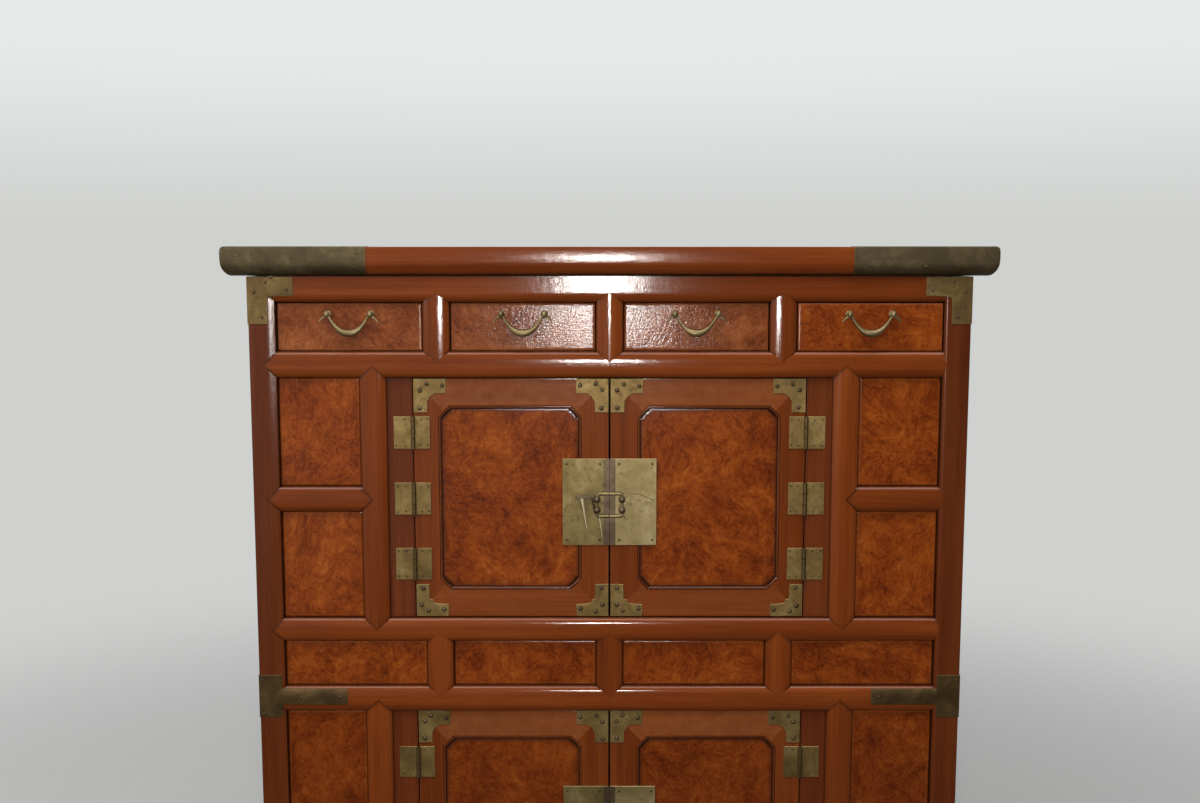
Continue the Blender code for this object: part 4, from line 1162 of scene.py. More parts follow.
@dataclass
class Nails:
    """Nail heads of the fittings, gathered by body and made with one node tree."""

    coat: Coat
    dome: float = 0.42
    spread: float = 0.10
    heads: dict[str, list[Head]] = field(default_factory=dict)

    def add(self, body: str, place: Vector, radius: float, facing: Vector = -Y) -> None:
        """Note one nail head."""
        self.heads.setdefault(body, []).append(Head(place, facing, radius))

    def tree(self) -> tuple[bpy.types.NodeTree, dict[str, str]]:
        """Node tree that sets a domed head on each vertex.

        Returns:
            The tree, and the identifier of each of its named inputs.
        """
        tree = bpy.data.node_groups.new("nail_heads", "GeometryNodeTree")
        face = tree.interface
        face.new_socket("Geometry", in_out="OUTPUT", socket_type="NodeSocketGeometry")
        face.new_socket("Geometry", in_out="INPUT", socket_type="NodeSocketGeometry")
        inputs = {}
        for label, kind in (("Dome", "Float"), ("Spread", "Float"), ("Seed", "Int"), ("Finish", "Material")):
            made = face.new_socket(label, in_out="INPUT", socket_type=f"NodeSocket{kind}")
            inputs[label] = made.identifier
        nodes = Wiring(tree)
        given = nodes.node("NodeGroupInput")

        def read(name: str, kind: str) -> Sock:
            """Attribute of the vertices."""
            made = nodes.node("GeometryNodeInputNamedAttribute", {"data_type": kind}, {"Name": name})
            return made["Attribute"]

        ball = nodes.node("GeometryNodeMeshUVSphere", None, {"Segments": 10, "Rings": 6, "Radius": 1.0})
        flatten = nodes.node("ShaderNodeCombineXYZ", None, {"X": 1.0, "Y": 1.0, "Z": given["Dome"]})
        dome = nodes.node("GeometryNodeTransform", None, {"Geometry": ball["Mesh"], "Scale": flatten})
        spot = nodes.node("GeometryNodeInputPosition")
        rim = nodes.vectors("DOT_PRODUCT", spot, spot)["Value"]
        dirty = nodes.node("GeometryNodeStoreNamedAttribute", {"data_type": "FLOAT", "domain": "POINT"},
                           {"Geometry": dome, "Name": "grime", "Value": rim})
        turn = nodes.node("FunctionNodeAlignRotationToVector", {"axis": "Z"},
                          {"Vector": read("facing", "FLOAT_VECTOR")})
        vary = nodes.node("FunctionNodeRandomValue", {"data_type": "FLOAT"},
                          {2: 1.0 - given["Spread"], 3: 1.0 + given["Spread"], "Seed": given["Seed"]})[1]
        placed = nodes.node("GeometryNodeInstanceOnPoints", None, {
            "Points": given["Geometry"], "Instance": dirty, "Rotation": turn,
            "Scale": read("head", "FLOAT") * vary})
        real = nodes.node("GeometryNodeRealizeInstances", None, {"Geometry": placed})
        smooth = nodes.node("GeometryNodeSetShadeSmooth", None, {"Geometry": real})
        dress = nodes.node("GeometryNodeSetMaterial", None, {"Geometry": smooth, "Material": given["Finish"]})
        nodes.node("NodeGroupOutput", None, {"Geometry": dress})
        return tree, inputs

    def build(self) -> None:
        """Make one mesh of nail heads for each body."""
        tree, inputs = self.tree()
        for number, (body, heads) in enumerate(sorted(self.heads.items())):
            mesh = bpy.data.meshes.new("nail_places")
            mesh.from_pydata([head.place for head in heads], [], [])
            facing = mesh.attributes.new("facing", "FLOAT_VECTOR", "POINT")
            facing.data.foreach_set("vector", [value for head in heads for value in head.facing])
            sizes = mesh.attributes.new("head", "FLOAT", "POINT")
            sizes.data.foreach_set("value", [head.radius for head in heads])
            piece = linked(f"{body}_nails", mesh)
            change = piece.modifiers.new("nail_heads", "NODES")
            change.node_group = tree
            change[inputs["Dome"]] = self.dome
            change[inputs["Spread"]] = self.spread
            change[inputs["Seed"]] = number
            change[inputs["Finish"]] = self.coat.material
            settle(piece)
            seat(piece, body)


@dataclass
class TopBoard:
    """Overhanging top board, rounded under its front and ends, with a brass cap round each front corner."""

    finishes: Finishes
    nails: Nails
    half: float = 0.5326
    front: float = -0.2341
    back: float = 0.2345
    sheet: float = 1.0 * MM
    under_height: float = 0.018
    under_inset: float = 0.0105
    front_round: float = 1.6 * MM
    end_round: float = 5.5 * MM
    bow_drop: float = 0.0130
    bow_radius: float = 0.13
    cap_length: float = 0.199
    cap_flange: float = 0.026
    cap_return: float = 0.110
    lip_width: float = 1.4 * MM
    lip_rise: float = 0.2 * MM
    heads: tuple[Pair, ...] = ((0.07, 0.70), (0.50, 0.34), (0.95, 0.30), (0.96, 0.78))
    head_near: float = 0.008
    head_run: float = 0.185
    head_radius: float = 1.6 * MM

    def tuck(self, z: float, edge: float) -> float:
        """How far a face is drawn in.

        Args:
            z: Height on the face.
            edge: Radius of its upper edge.

        Returns:
            Distance behind its foremost line.
        """
        under = max(0.0, 1 - (z - TOP_BOTTOM - CLEAR) / self.under_height)
        over = max(0.0, 1 - (TOP_HEIGHT - z) / edge)
        bow = (z - TOP_HEIGHT + self.bow_drop) ** 2 / (2 * self.bow_radius)
        return (self.under_inset * (1 - math.sqrt(1 - min(1.0, under) ** 2)) + bow
                + edge * (1 - math.sqrt(1 - min(1.0, over) ** 2)))

    def slab(self, shape: Shape, path: Sequence[Vector], sheet: float) -> None:
        """Part of the board or its caps, stacked from its underside to its top.

        Args:
            shape: Shape that takes it.
            path: Its outline seen from above.
            sheet: How far it lies inside the faces of the caps.
        """
        low, high = TOP_BOTTOM + CLEAR + abs(sheet) / 2, TOP_HEIGHT - abs(sheet) / 2
        shares = [0.0, *[(1 - math.cos(math.pi / 2 * i / 9)) * 0.46 for i in range(1, 10)],
                  0.60, 0.75, 0.86, 0.90, 0.94, 0.97, 0.99, 1.0]
        rings = []
        for share in shares:
            z = low + (high - low) * share
            front = self.front + sheet + self.tuck(z, self.front_round)
            reach = self.half - sheet - self.tuck(z, self.end_round)
            ring = []
            for point in path:
                place = Vector((max(-reach, min(reach, point.x)), max(front, point.y), z))
                # Painted shade: the lowest rings, the underside and the start of the tuck, are darkened.
                ring.append(Spot(place, place, 0.8 if share < 0.1 else 0.0))
            rings.append(ring)
        shape.rings(rings)

    def build(self) -> None:
        """Make the board, its caps and their nails."""
        wood, caps, lips = Shape(), Shape(), Shape()
        self.slab(wood, rectangle(-self.half, self.half, self.front, self.back), self.sheet)
        wood.make("top_board_wood", self.finishes.top, nodes=["top_board"])
        near, far = self.half - self.cap_length, self.half - self.cap_flange
        flange, end = self.front + self.cap_flange, self.front + self.cap_return
        cap = [(near, self.front), (self.half, self.front), (self.half, end), (far, end), (far, flange),
               (near, flange)]
        rim = near + self.lip_width
        lip = [(near, self.front), (rim, self.front), (rim, flange), (near, flange)]
        for side in Side:
            self.slab(caps, counterclockwise([(side.value * x, y) for x, y in cap]), 0.0)
            self.slab(lips, counterclockwise([(side.value * x, y) for x, y in lip]), -self.lip_rise)
            for share, rise in self.heads:
                x = side.value * (self.half - self.head_near - share * self.head_run)
                z = TOP_BOTTOM + rise * (TOP_HEIGHT - TOP_BOTTOM)
                y = self.front + self.tuck(z, self.front_round) + 0.1 * MM
                self.nails.add(CASE, Vector((x, y, z)), self.head_radius)
        caps.make("top_board_caps", self.finishes.dark_brass)
        lips.make("top_board_cap_lips", self.finishes.dull_brass)


@dataclass
class FrontFrame:
    """Posts, rails, muntins, mullions and cross bars of the front, with the flat jambs."""

    finishes: Finishes
    rail_depth: float = 0.021
    bar_depth: float = 0.015
    jamb_thickness: float = 0.020
    jamb_lap: float = 2.0 * MM
    arris: float = 2.2 * MM
    arris_turn: float = 0.7 * MM
    # Heights up the posts and the darkening there: soiling at the foot, painted shade at the head under the
    # top board.
    stations: tuple[Pair, ...] = ((0.0, 1.0), (0.002, 0.8), (0.012, 0.3), (0.05, 0.0), (1.225, 0.0),
                                  (1.2457, 0.7))

    def posts(self) -> None:
        """Front posts that run down into the legs, soiled at their feet, with painted shade at their heads
        under the top board and along their inner edges.
        """
        for side in Side:
            shape = Shape()
            # Inner edge darkened: soiling and painted shade beside the panels and drawers.
            path = [(POST_INNER + a * MM, FACE_Y - h * MM, 0.9 if a < 0.5 else 0.0) for a, h in side.post]
            path += [(HALF_WIDTH - self.arris, FRONT_Y, 0.0),
                     (HALF_WIDTH - self.arris_turn, FRONT_Y + self.arris_turn, 0.0),
                     (HALF_WIDTH, FRONT_Y + self.arris, 0.0), (HALF_WIDTH, POST_BACK_Y, 0.6),
                     (POST_INNER, POST_BACK_Y, 1.0)]
            shape.rings([[Spot(Vector((side.value * x, y, z)), (z, x, y), max(grime, dirt))
                          for x, y, grime in path] for z, dirt in self.stations])
            name = f"front_post_{side.word}"
            shape.make(f"{name}_wood", self.finishes.dark_frame, nodes=[name])

    def rails(self) -> None:
        """Six rails between the posts."""
        shape = Shape()
        for name, (low, high) in RAILS.items():
            shape.moulding(front_lay(FACE_Y, (low + high) / 2), -POST_INNER, POST_INNER, (high - low) / 2,
                           self.rail_depth, flat_crown if name == "top" else crown)
        shape.make("front_rails", self.finishes.frame,
                   nodes=["top_rail", "upper_sill_rail", "lower_sill_rail"])

    def bars(self) -> None:
        """Upright and cross bars, and the flat jambs beside the mullions."""
        shape, jambs = Shape(), Shape()
        for low, high in ((RAILS["drawer"][1], RAILS["top"][0]), Tier.UPPER.row, Tier.LOWER.row):
            for x in MUNTIN_X:
                shape.moulding(upright_lay(x, FACE_Y), low, high, MUNTIN_HALF, self.bar_depth, tent)
        for tier in Tier:
            low, high = tier.door
            for side in Side:
                mullion = upright_lay(side.value * MULLION_X, FACE_Y)
                shape.moulding(mullion, low, high, MULLION_HALF, self.bar_depth)
                cross = front_lay(FACE_Y, tier.middle)
                shape.moulding(cross, *side.span(POST_INNER, MULLION_OUTER), CROSS_HALF, self.bar_depth)
                x0, x1 = side.span(JAMB_EDGE, MULLION_X - MULLION_HALF + self.jamb_lap)
                jambs.board((x0, LEAF_Y, low + CLEAR), (x1, LEAF_Y + self.jamb_thickness, high - CLEAR), 2,
                            0.8 * MM, 0.5)
        shape.make("front_bars", self.finishes.frame)
        jambs.make("flat_jambs", self.finishes.jamb,
                   nodes=[f"{tier.word}_jamb_{side.word}" for tier in Tier for side in Side])

    def build(self) -> None:
        """Make the whole front frame."""
        self.posts()
        self.rails()
        self.bars()


@dataclass
class BurlFields:
    """Fixed burl panels: the rows of low panels and the side fields."""

    finishes: Finishes
    corner: float = 1.5 * MM

    def build(self) -> None:
        """Make the panels of both tiers."""
        lay = front_lay(LEAF_Y)
        for tier in Tier:
            row = Shape()
            for x in COLUMN_X:
                path = rectangle(x - COLUMN_HALF, x + COLUMN_HALF, *tier.row, self.corner)
                row.prism(lay, path, FIELD_EDGE, inset=shrunk_path)
            row.make(f"{tier.word}_row_burl", self.finishes.burl, nodes=[f"{tier.word}_row_panel"])
            low, high = tier.door
            for side in Side:
                fields = Shape()
                ends = side.span(POST_INNER, MULLION_OUTER)
                for span in ((low, tier.middle - CROSS_HALF), (tier.middle + CROSS_HALF, high)):
                    fields.prism(lay, rectangle(*ends, *span, self.corner), FIELD_EDGE, True, shrunk_path)
                fields.make(f"{tier.word}_{side.word}_field_burl", self.finishes.burl,
                            nodes=[f"{tier.word}_field_{side.word}"])


@dataclass
class CaseBody:
    """Sides, back, floors, drawer guides and aprons of the case."""

    finishes: Finishes
    side_thickness: float = 0.020
    bracket_low: float = 0.060
    bracket_high: float = 0.115
    bracket_run: float = 0.110
    apron_set_back: float = 0.010
    apron_thickness: float = 0.016
    panel_front: float = -0.1347
    panel_back: float = 0.160
    panel_recess: float = 0.007
    planks: int = 5
    plank_thickness: float = 0.010
    back_rail_front: float = 0.008
    back_rail_back: float = 0.022
    floor_thickness: float = 0.014
    floor_set_back: float = 0.028
    guide_half: float = 0.017
    guide_set_back: float = 0.022
    lap: float = 2.0 * MM

    def apron(self, start: float, end: float, top: float) -> list[Vector]:
        """Outline of an apron with a curved bracket at each end.

        Args:
            start: Place of its first end.
            end: Place of its other end.
            top: Height of its upper edge.

        Returns:
            The outline, counterclockwise.
        """
        steps = 14
        rise = [(1 - math.cos(math.pi * i / steps)) / 2 for i in range(steps + 1)]
        first = [(start + self.bracket_run * i / steps,
                  self.bracket_low + (self.bracket_high - self.bracket_low) * h) for i, h in enumerate(rise)]
        last = [(start + end - s, z) for s, z in reversed(first)]
        return [Vector(p) for p in [*first, *last, (end, top), (start, top)]]

    def frames(self) -> None:
        """Framed sides with two sunk panels each, the rear posts and the side aprons."""
        front, top, base = POST_BACK_Y + CLEAR, TOP_BOTTOM - CLEAR, RAILS["base"][1]
        sunk = self.panel_recess
        for side in Side:
            shape, panels = Shape(), Shape()
            lay = side_lay(side)
            inner, outer = side.value * SIDE_INNER, side.value * HALF_WIDTH
            shape.board((side.value * POST_INNER, INNER_BACK_Y, 0), (outer, BACK_Y, top), 2, 2.0 * MM, 0.3)
            for near, far in ((front, self.panel_front), (self.panel_back, INNER_BACK_Y)):
                shape.board((inner, near, base), (outer, far, top), 2, 1.5 * MM, 0.4)
            for low, high in (RAILS["tier"], (RAILS["top"][0], top)):
                shape.board((inner, self.panel_front, low), (outer, self.panel_back, high), 1, 1.5 * MM, 0.4)
            shape.prism(lay, self.apron(front, INNER_BACK_Y, base),
                        [Level(0, -self.side_thickness, 0.6), *EASED_EDGE])
            name = f"side_frame_{side.word}"
            shape.make(f"{name}_wood", self.finishes.side, nodes=[name])
            for low, high in ((base, RAILS["tier"][0]), (RAILS["tier"][1], RAILS["top"][0])):
                path = rectangle(self.panel_front - MM, self.panel_back + MM, low - MM, high + MM)
                panels.prism(lay, path, [
                    Level(0, 0.1 * MM - self.side_thickness, 0.8), Level(0, -sunk - 3.0 * MM, 1.0),
                    Level(3.0 * MM, -sunk - 2.6 * MM, 1.0), Level(16 * MM, -sunk, 0.25, 0.2),
                    Level(20 * MM, -sunk)], turned=True)
            panels.make(f"side_panels_{side.word}", self.finishes.side)

    def back(self) -> None:
        """Back of upright planks with three rails across it."""
        shape = Shape()
        half, top = POST_INNER - CLEAR, TOP_BOTTOM - CLEAR
        low, behind = RAILS["base"][0], INNER_BACK_Y + self.plank_thickness
        width = 2 * half / self.planks
        for i in range(self.planks):
            x = -half + i * width
            shape.board((x, INNER_BACK_Y, low), (x + width, behind, top), 2, 1.4 * MM, 0.7)
        near, far = INNER_BACK_Y + self.back_rail_front, INNER_BACK_Y + self.back_rail_back
        reach = half - self.lap
        lowest = node_span("back_panel", 2)[0], RAILS["base"][1]
        for low, high in (lowest, RAILS["tier"], (RAILS["top"][0], top - self.lap)):
            shape.board((-reach, near, low), (reach, far, high), 0, 1.4 * MM, 0.5)
        shape.make("back_planks", self.finishes.bare, nodes=["back_panel"])

    def guides(self, shape: Shape, top: float, behind: float, far: float) -> None:
        """Guides between the drawers and beside the outer ones.

        Args:
            shape: Shape that takes them.
            top: Height of the deck.
            behind: Depth just behind the front posts.
            far: Depth of the back of the deck.
        """
        low, high = top - 2 * self.lap, RAILS["top"][0] - self.lap
        spans = [(x - self.guide_half, x + self.guide_half, FRONT_Y + self.guide_set_back) for x in MUNTIN_X]
        inner, outer = POST_INNER + self.lap, SIDE_INNER - CLEAR - self.lap
        spans += [(*side.span(inner, outer), behind + self.lap) for side in Side]
        for x0, x1, near in spans:
            shape.board((x0, near, low), (x1, far - self.lap, high), 1, 0.6 * MM, 0.4)

    def floors(self) -> None:
        """Floors of the compartments, and the deck under the drawers with its guides."""
        narrow, wide = POST_INNER - CLEAR, SIDE_INNER - CLEAR
        near, behind, far = FRONT_Y + self.floor_set_back, POST_BACK_Y + CLEAR, INNER_BACK_Y - CLEAR
        for rail in ("drawer", "tier", "base"):
            shape = Shape()
            top = RAILS[rail][1] - CLEAR
            bottom = top - self.floor_thickness
            shape.board((-narrow, near, bottom), (narrow, behind + self.lap, top), 0, 0.6 * MM, 0.3)
            shape.board((-wide, behind, bottom + MM), (wide, far, top - MM), 0, 0.6 * MM, 0.5)
            if rail == "drawer":
                self.guides(shape, top, behind, far)
            shape.make(f"{rail}_shelf_boards", self.finishes.bare, nodes=[f"{rail}_shelf"])

    def build(self) -> None:
        """Make the body of the case."""
        self.frames()
        self.back()
        self.floors()
        apron = Shape()
        half = POST_INNER - CLEAR
        path = self.apron(-half, half, RAILS["base"][0] + self.lap)
        apron.prism(front_lay(FRONT_Y + self.apron_set_back), path,
                    [Level(0, -self.apron_thickness, 0.6), *EASED_EDGE])
        apron.make("front_apron", self.finishes.frame)


@dataclass
class CaseBrackets:
    """Brass brackets bent over the case: one at each top corner and one at each end of the tier rail."""

    finishes: Finishes
    nails: Nails
    sheet: float = 0.9 * MM
    wrap: float = 0.4 * MM
    wrap_end: float = 6.0 * MM
    tier_level: float = 0.6475
    corner_heads: tuple[Pair, ...] = ((10, 21), (26, 7.5), (55, 18), (20, 56))
    tee_heads: tuple[Pair, ...] = ((6, 25), (6, -25), (115, 0), (60, 0))
    side_heads: tuple[Pair, ...] = ((-0.209, 0.14), (-0.190, 0.14), (-0.209, 0.86), (-0.190, 0.86))
    front_radius: float = 2.4 * MM
    side_radius: float = 2.2 * MM

    def corner_outline(self) -> list[Pair]:
        """Angle bracket from its outer corner: along the rail, then down the post."""
        inner = arc((34, 33.5), 6, 270, 180, 4)
        return in_mm((0, 0), (64, 0), (64, 26.5), *inner, (28, 65.5), (0, 65.5))

    def tee_outline(self) -> list[Pair]:
        """Bracket with an arm along the rail, from the middle of its edge."""
        return in_mm((0, -30), (33, -30), (33, -11.5), (126.5, -11.5), (126.5, 11.5), (33, 11.5), (33, 32.2),
                     (0, 32.2))

    def fit(self, shape: Shape, side: Side, outline: Sequence[Pair], level: float, drop: float,
            heads: Sequence[Pair]) -> None:
        """Bend one bracket over the front and round the side.

        Args:
            shape: Shape that takes it.
            side: Side of the chest.
            outline: Its outline from the outer edge.
            level: Height that the outline is measured from.
            drop: Whether the outline is measured down (-1) or up (1).
            heads: Places of its nails in the outline, in millimetres.
        """
        def place(a: float, b: float) -> Pair:
            """Place on the front of a point of the outline."""
            return side.value * (HALF_WIDTH + self.wrap - a), level + drop * b

        path = counterclockwise([place(a, b) for a, b in outline])
        shape.plate(front_lay(FACE_Y), path, self.sheet, front_height)
        for a, b in in_mm(*heads):
            x, z = place(a, b)
            self.nails.add(CASE, Vector((x, FACE_Y - front_height(x, z) - self.sheet, z)), self.front_radius)
        heights = [b for _, b in outline]
        z0, z1 = sorted((level + drop * min(heights), level + drop * max(heights)))
        wrap = rectangle(FRONT_Y - self.sheet, POST_BACK_Y - self.wrap_end, z0, z1)
        shape.plate(side_lay(side), wrap, self.wrap)
        for y, share in self.side_heads:
            spot = Vector((side.value * (HALF_WIDTH + self.wrap), y, z0 + (z1 - z0) * share))
            self.nails.add(CASE, spot, self.side_radius, X * side.value)

    def build(self) -> None:
        """Make the brackets of both sides."""
        corners, tees = Shape(), Shape()
        for side in Side:
            self.fit(corners, side, self.corner_outline(), TOP_BOTTOM - MM, -1, self.corner_heads)
            self.fit(tees, side, self.tee_outline(), self.tier_level, 1, self.tee_heads)
        corners.make("corner_brackets", self.finishes.dull_brass)
        tees.make("tier_brackets", self.finishes.brown_brass)


@dataclass
class Door:
    """Door of a pair: mitred frame, bead, burl panel, brackets, hinge leaves and half of the lock.

    The indents of its field, the places of its bracket nails and the scratches are in millimetres.
    """

    finishes: Finishes
    nails: Nails
    tier: Tier
    side: Side
    rail: float = 0.0385
    hinge_stile: float = 0.0345
    meeting_stile: float = 0.038
    indent: tuple[Pair, ...] = ((0.0, 16.5), (0.5, 14.6), (3.0, 13.4), (4.6, 10.8), (7.6, 7.6), (10.8, 4.6),
                                (13.4, 3.0), (14.6, 0.5), (16.5, 0.0))
    rubbed: tuple[float, ...] = (0.6, 0.0, 1.6, 0.0)
    thickness: float = 0.022
    play: float = 1.2 * MM
    panel_recess: float = 2.2 * MM
    bracket_sheet: float = 1.1 * MM
    bracket_heads: tuple[Pair, ...] = ((8.5, 16.5), (18.0, 7.5), (40.0, 10.5), (9.0, 41.5))
    bracket_radius: float = 3.3 * MM
    hinge_half: float = 0.023
    hinge_spacing: float = 0.094
    jamb_leaf: float = 0.0275
    door_leaf: float = 0.0235
    leaf_sheet: float = 1.5 * MM
    leaf_heads: Pair = (0.38, 0.84)
    leaf_head_edge: float = 4.8 * MM
    leaf_radius: float = 1.4 * MM
    knuckle: float = 3.2 * MM
    hinge_pin: float = 1.5 * MM
    lock_width: float = 0.065
    lock_half: float = 0.062
    lock_heads: Pair = (0.0125, 0.059)
    lock_head_rise: float = 0.0545
    lock_radius: float = 1.9 * MM
    lip_end: float = 0.2 * MM
    lip_width: float = 6.8 * MM
    lip_rise: float = 0.7 * MM
    stud_ball: float = 5.0 * MM
    scars: tuple[tuple[Pair, ...], ...] = (
        ((30.0, 11.8), (37.0, 12.0), (43.2, 11.3), (49.0, 8.5), (54.0, 6.2), (62.5, 3.0)),
        ((31.0, -1.0), (30.0, -4.5), (28.5, -6.2)),
        ((57.2, -19.0), (58.5, -21.5)),
        ((61.0, -25.5), (62.0, -27.2)),
        ((56.0, -28.2), (57.8, -29.0)),
        ((59.0, 2.0), (61.8, 0.5)))

    @property
    def name(self) -> str:
        """Start of the names of its nodes."""
        return f"{self.tier.word}_{self.side.word}"

    @property
    def body(self) -> str:
        """Body that it moves with."""
        return f"{self.name}_door"

    @property
    def edges(self) -> tuple[float, float, float, float]:
        """Left, right, lower and upper edges."""
        low, high = self.tier.door
        return *self.side.span(DOOR_INNER, DOOR_OUTER), low + self.play, high - self.play

    def field_path(self) -> tuple[list[Vector], list[int]]:
        """Outline of the field with its indented corners.

        Returns:
            The outline, counterclockwise from the middle of the lower left corner, and the places in it of
            the middles of the four corners.
        """
        x0, x1, z0, z1 = self.edges
        left, right = self.hinge_stile, self.meeting_stile
        if self.side is Side.RIGHT:
            left, right = right, left
        x0, x1, z0, z1 = x0 + left, x1 - right, z0 + self.rail, z1 - self.rail
        corners = ((x0, z0, 1, 1), (x1, z0, -1, 1), (x1, z1, -1, -1), (x0, z1, 1, -1))
        path: list[Vector] = []
        middles = []
        for number, (x, z, sx, sz) in enumerate(corners):
            points = self.indent[::-1] if number % 2 else self.indent
            middles.append(len(path) + len(points) // 2)
            path += [Vector((x + sx * a * MM, z + sz * b * MM)) for a, b in points]
        return path, middles

    def frame(self) -> None:
        """Four mitred members round the field, the level ones rubbed bright."""
        x0, x1, z0, z1 = self.edges
        outer = [(x0, z0), (x1, z0), (x1, z1), (x0, z1)]
        path, middles = self.field_path()
        shape = Shape()
        edge = [Level(0, -self.thickness, 0.5),
                *profile((0, -0.5, 0.5), (0.15, -0.1, 0.3, 0.2), (0.4, 0, 0.12, 0.3))]
        for i, rubbed in enumerate(self.rubbed):
            start, end = middles[i], middles[(i + 1) % 4]
            inner = path[start:end + 1] if end > start else [*path[start:], *path[:end + 1]]
            member = counterclockwise([outer[i], outer[(i + 1) % 4], *reversed(inner)])
            levels = [*edge, Level(2.0 * MM, 0, 0.0 if rubbed else 0.22, rubbed)]
            shape.prism(front_lay(LEAF_Y), member, levels, i % 2 == 1, inset_member)
        shape.make(f"{self.name}_door_members", self.finishes.frame, self.body, [f"{self.name}_door_frame"])

    def field(self) -> None:
        """Bead along the frame and the burl panel inside it."""
        path, _ = self.field_path()
        bead, panel = Shape(), Shape()
        # Bead: darkened all round, soiling and painted shade in its grooves, with its crest lightened as a
        # painted highlight.
        bead.trim(front_lay(LEAF_Y), path, profile(
            (0.05, -8.0, 1.0), (0.15, -1.0, 0.9), (0.6, -0.40, 0.60), (1.6, -0.15, 0.45, 0.5),
            (2.5, -0.30, 0.55, 0.2), (3.5, -0.9, 0.80), (4.3, -2.3, 1.0), (4.5, -8.0, 1.0)))
        bead.make(f"{self.name}_door_bead", self.finishes.frame, self.body)
        sunk = self.panel_recess
        # Panel edge darkened, soiling and painted shade where it sinks under the bead, enough to hide the
        # light on its rounded edge.
        panel.prism(front_lay(LEAF_Y), path, [
            Level(-2.0 * MM, MM - self.thickness, 0.5), Level(-2.0 * MM, -12 * MM, 0.5),
            Level(3.4 * MM, -10 * MM, 1.0), Level(3.8 * MM, -sunk - 0.40 * MM, 1.0),
            Level(5.0 * MM, -sunk - 0.15 * MM, 0.80), Level(6.8 * MM, -sunk, 0.46),
            Level(11 * MM, -sunk, 0.16), Level(20 * MM, -sunk)], True, shrunk_path)
        panel.make(f"{self.name}_door_burl", self.finishes.burl, self.body, [f"{self.name}_door_panel"])

    def brackets(self, shape: Shape) -> None:
        """Bracket at each corner of the door, with its nails.

        Args:
            shape: Shape that takes them.
        """
        x0, x1, z0, z1 = self.edges
        lay = front_lay(LEAF_Y)
        for x, sx in ((x0, 1), (x1, -1)):
            for z, sz, corner in ((z0, 1, Corner.STEPPED), (z1, -1, Corner.ROUND)):
                path = [(x + sx * a, z + sz * b) for a, b in corner.outline]
                shape.plate(lay, counterclockwise(path), self.bracket_sheet)
                for a, b in self.bracket_heads:
                    across = x + sx * (a + CHANCE.uniform(-1, 1)) * MM
                    up = z + sz * (b + CHANCE.uniform(-1, 1)) * MM
                    self.nails.add(self.body, lay.at(across, up, self.bracket_sheet), self.bracket_radius)

    def leaf(self, shape: Shape, body: str, way: int, z: float) -> None:
        """One leaf of a hinge with its nails.

        Args:
            shape: Shape that takes it.
            body: Body of its nails.
            way: 1 for the leaf on the jamb, -1 for the leaf on the door.
            z: Height of its middle.
        """
        lay = front_lay(LEAF_Y)
        reach = self.jamb_leaf if way > 0 else self.door_leaf
        near, far = (self.side.value * (HINGE_X + way * place) for place in (self.knuckle * 0.75, reach))
        path = rectangle(*sorted((near, far)), z - self.hinge_half, z + self.hinge_half)
        shape.plate(lay, path, self.leaf_sheet)
        for share in self.leaf_heads:
            across = near + (far - near) * share
            for step in (-1, 1):
                up = z + step * (self.hinge_half - self.leaf_head_edge) + CHANCE.uniform(-0.8, 0.8) * MM
                self.nails.add(body, lay.at(across, up, self.leaf_sheet), self.leaf_radius)

    def knuckles(self, shape: Shape, *spans: Pair) -> None:
        """Barrels of a hinge, darkened all over as painted shade.

        Args:
            shape: Shape that takes them.
            spans: Lower and upper end of each.
        """
        axis = Vector((self.side.value * HINGE_X, HINGE_Y, 0))
        r, soft = self.knuckle, 0.4 * MM
        for low, high in spans:
            # Painted shade: the barrels are darkened all over.
            shape.turned(axis, Z, [(low, r * 0.80), (low + soft, r), (high - soft, r), (high, r * 0.80)], 0.8)

    def hinges(self, moving: Shape) -> None:
        """Leaves and knuckles on the door, and the fixed halves on the jamb.

        Args:
            moving: Shape that takes what moves with the door.
        """
        third = self.hinge_half / 3
        axis = Vector((self.side.value * HINGE_X, HINGE_Y, 0))
        for number in (1, 2, 3):
            z = self.tier.middle + self.hinge_spacing * (number - 2)
            self.leaf(moving, self.body, -1, z)
            self.knuckles(moving, (z - third + CLEAR, z + third - CLEAR))
            fixed = Shape()
            self.leaf(fixed, CASE, 1, z)
            self.knuckles(fixed, (z - 3 * third, z - third - CLEAR), (z + third + CLEAR, z + 3 * third))
            fixed.turned(axis, Z, [(z - third - MM, self.hinge_pin), (z + third + MM, self.hinge_pin)])
            fixed.make(f"{self.name}_hinge_leaf_{number}", self.finishes.fitting_brass,
                       nodes=[f"{self.name}_hinge_{number}"])

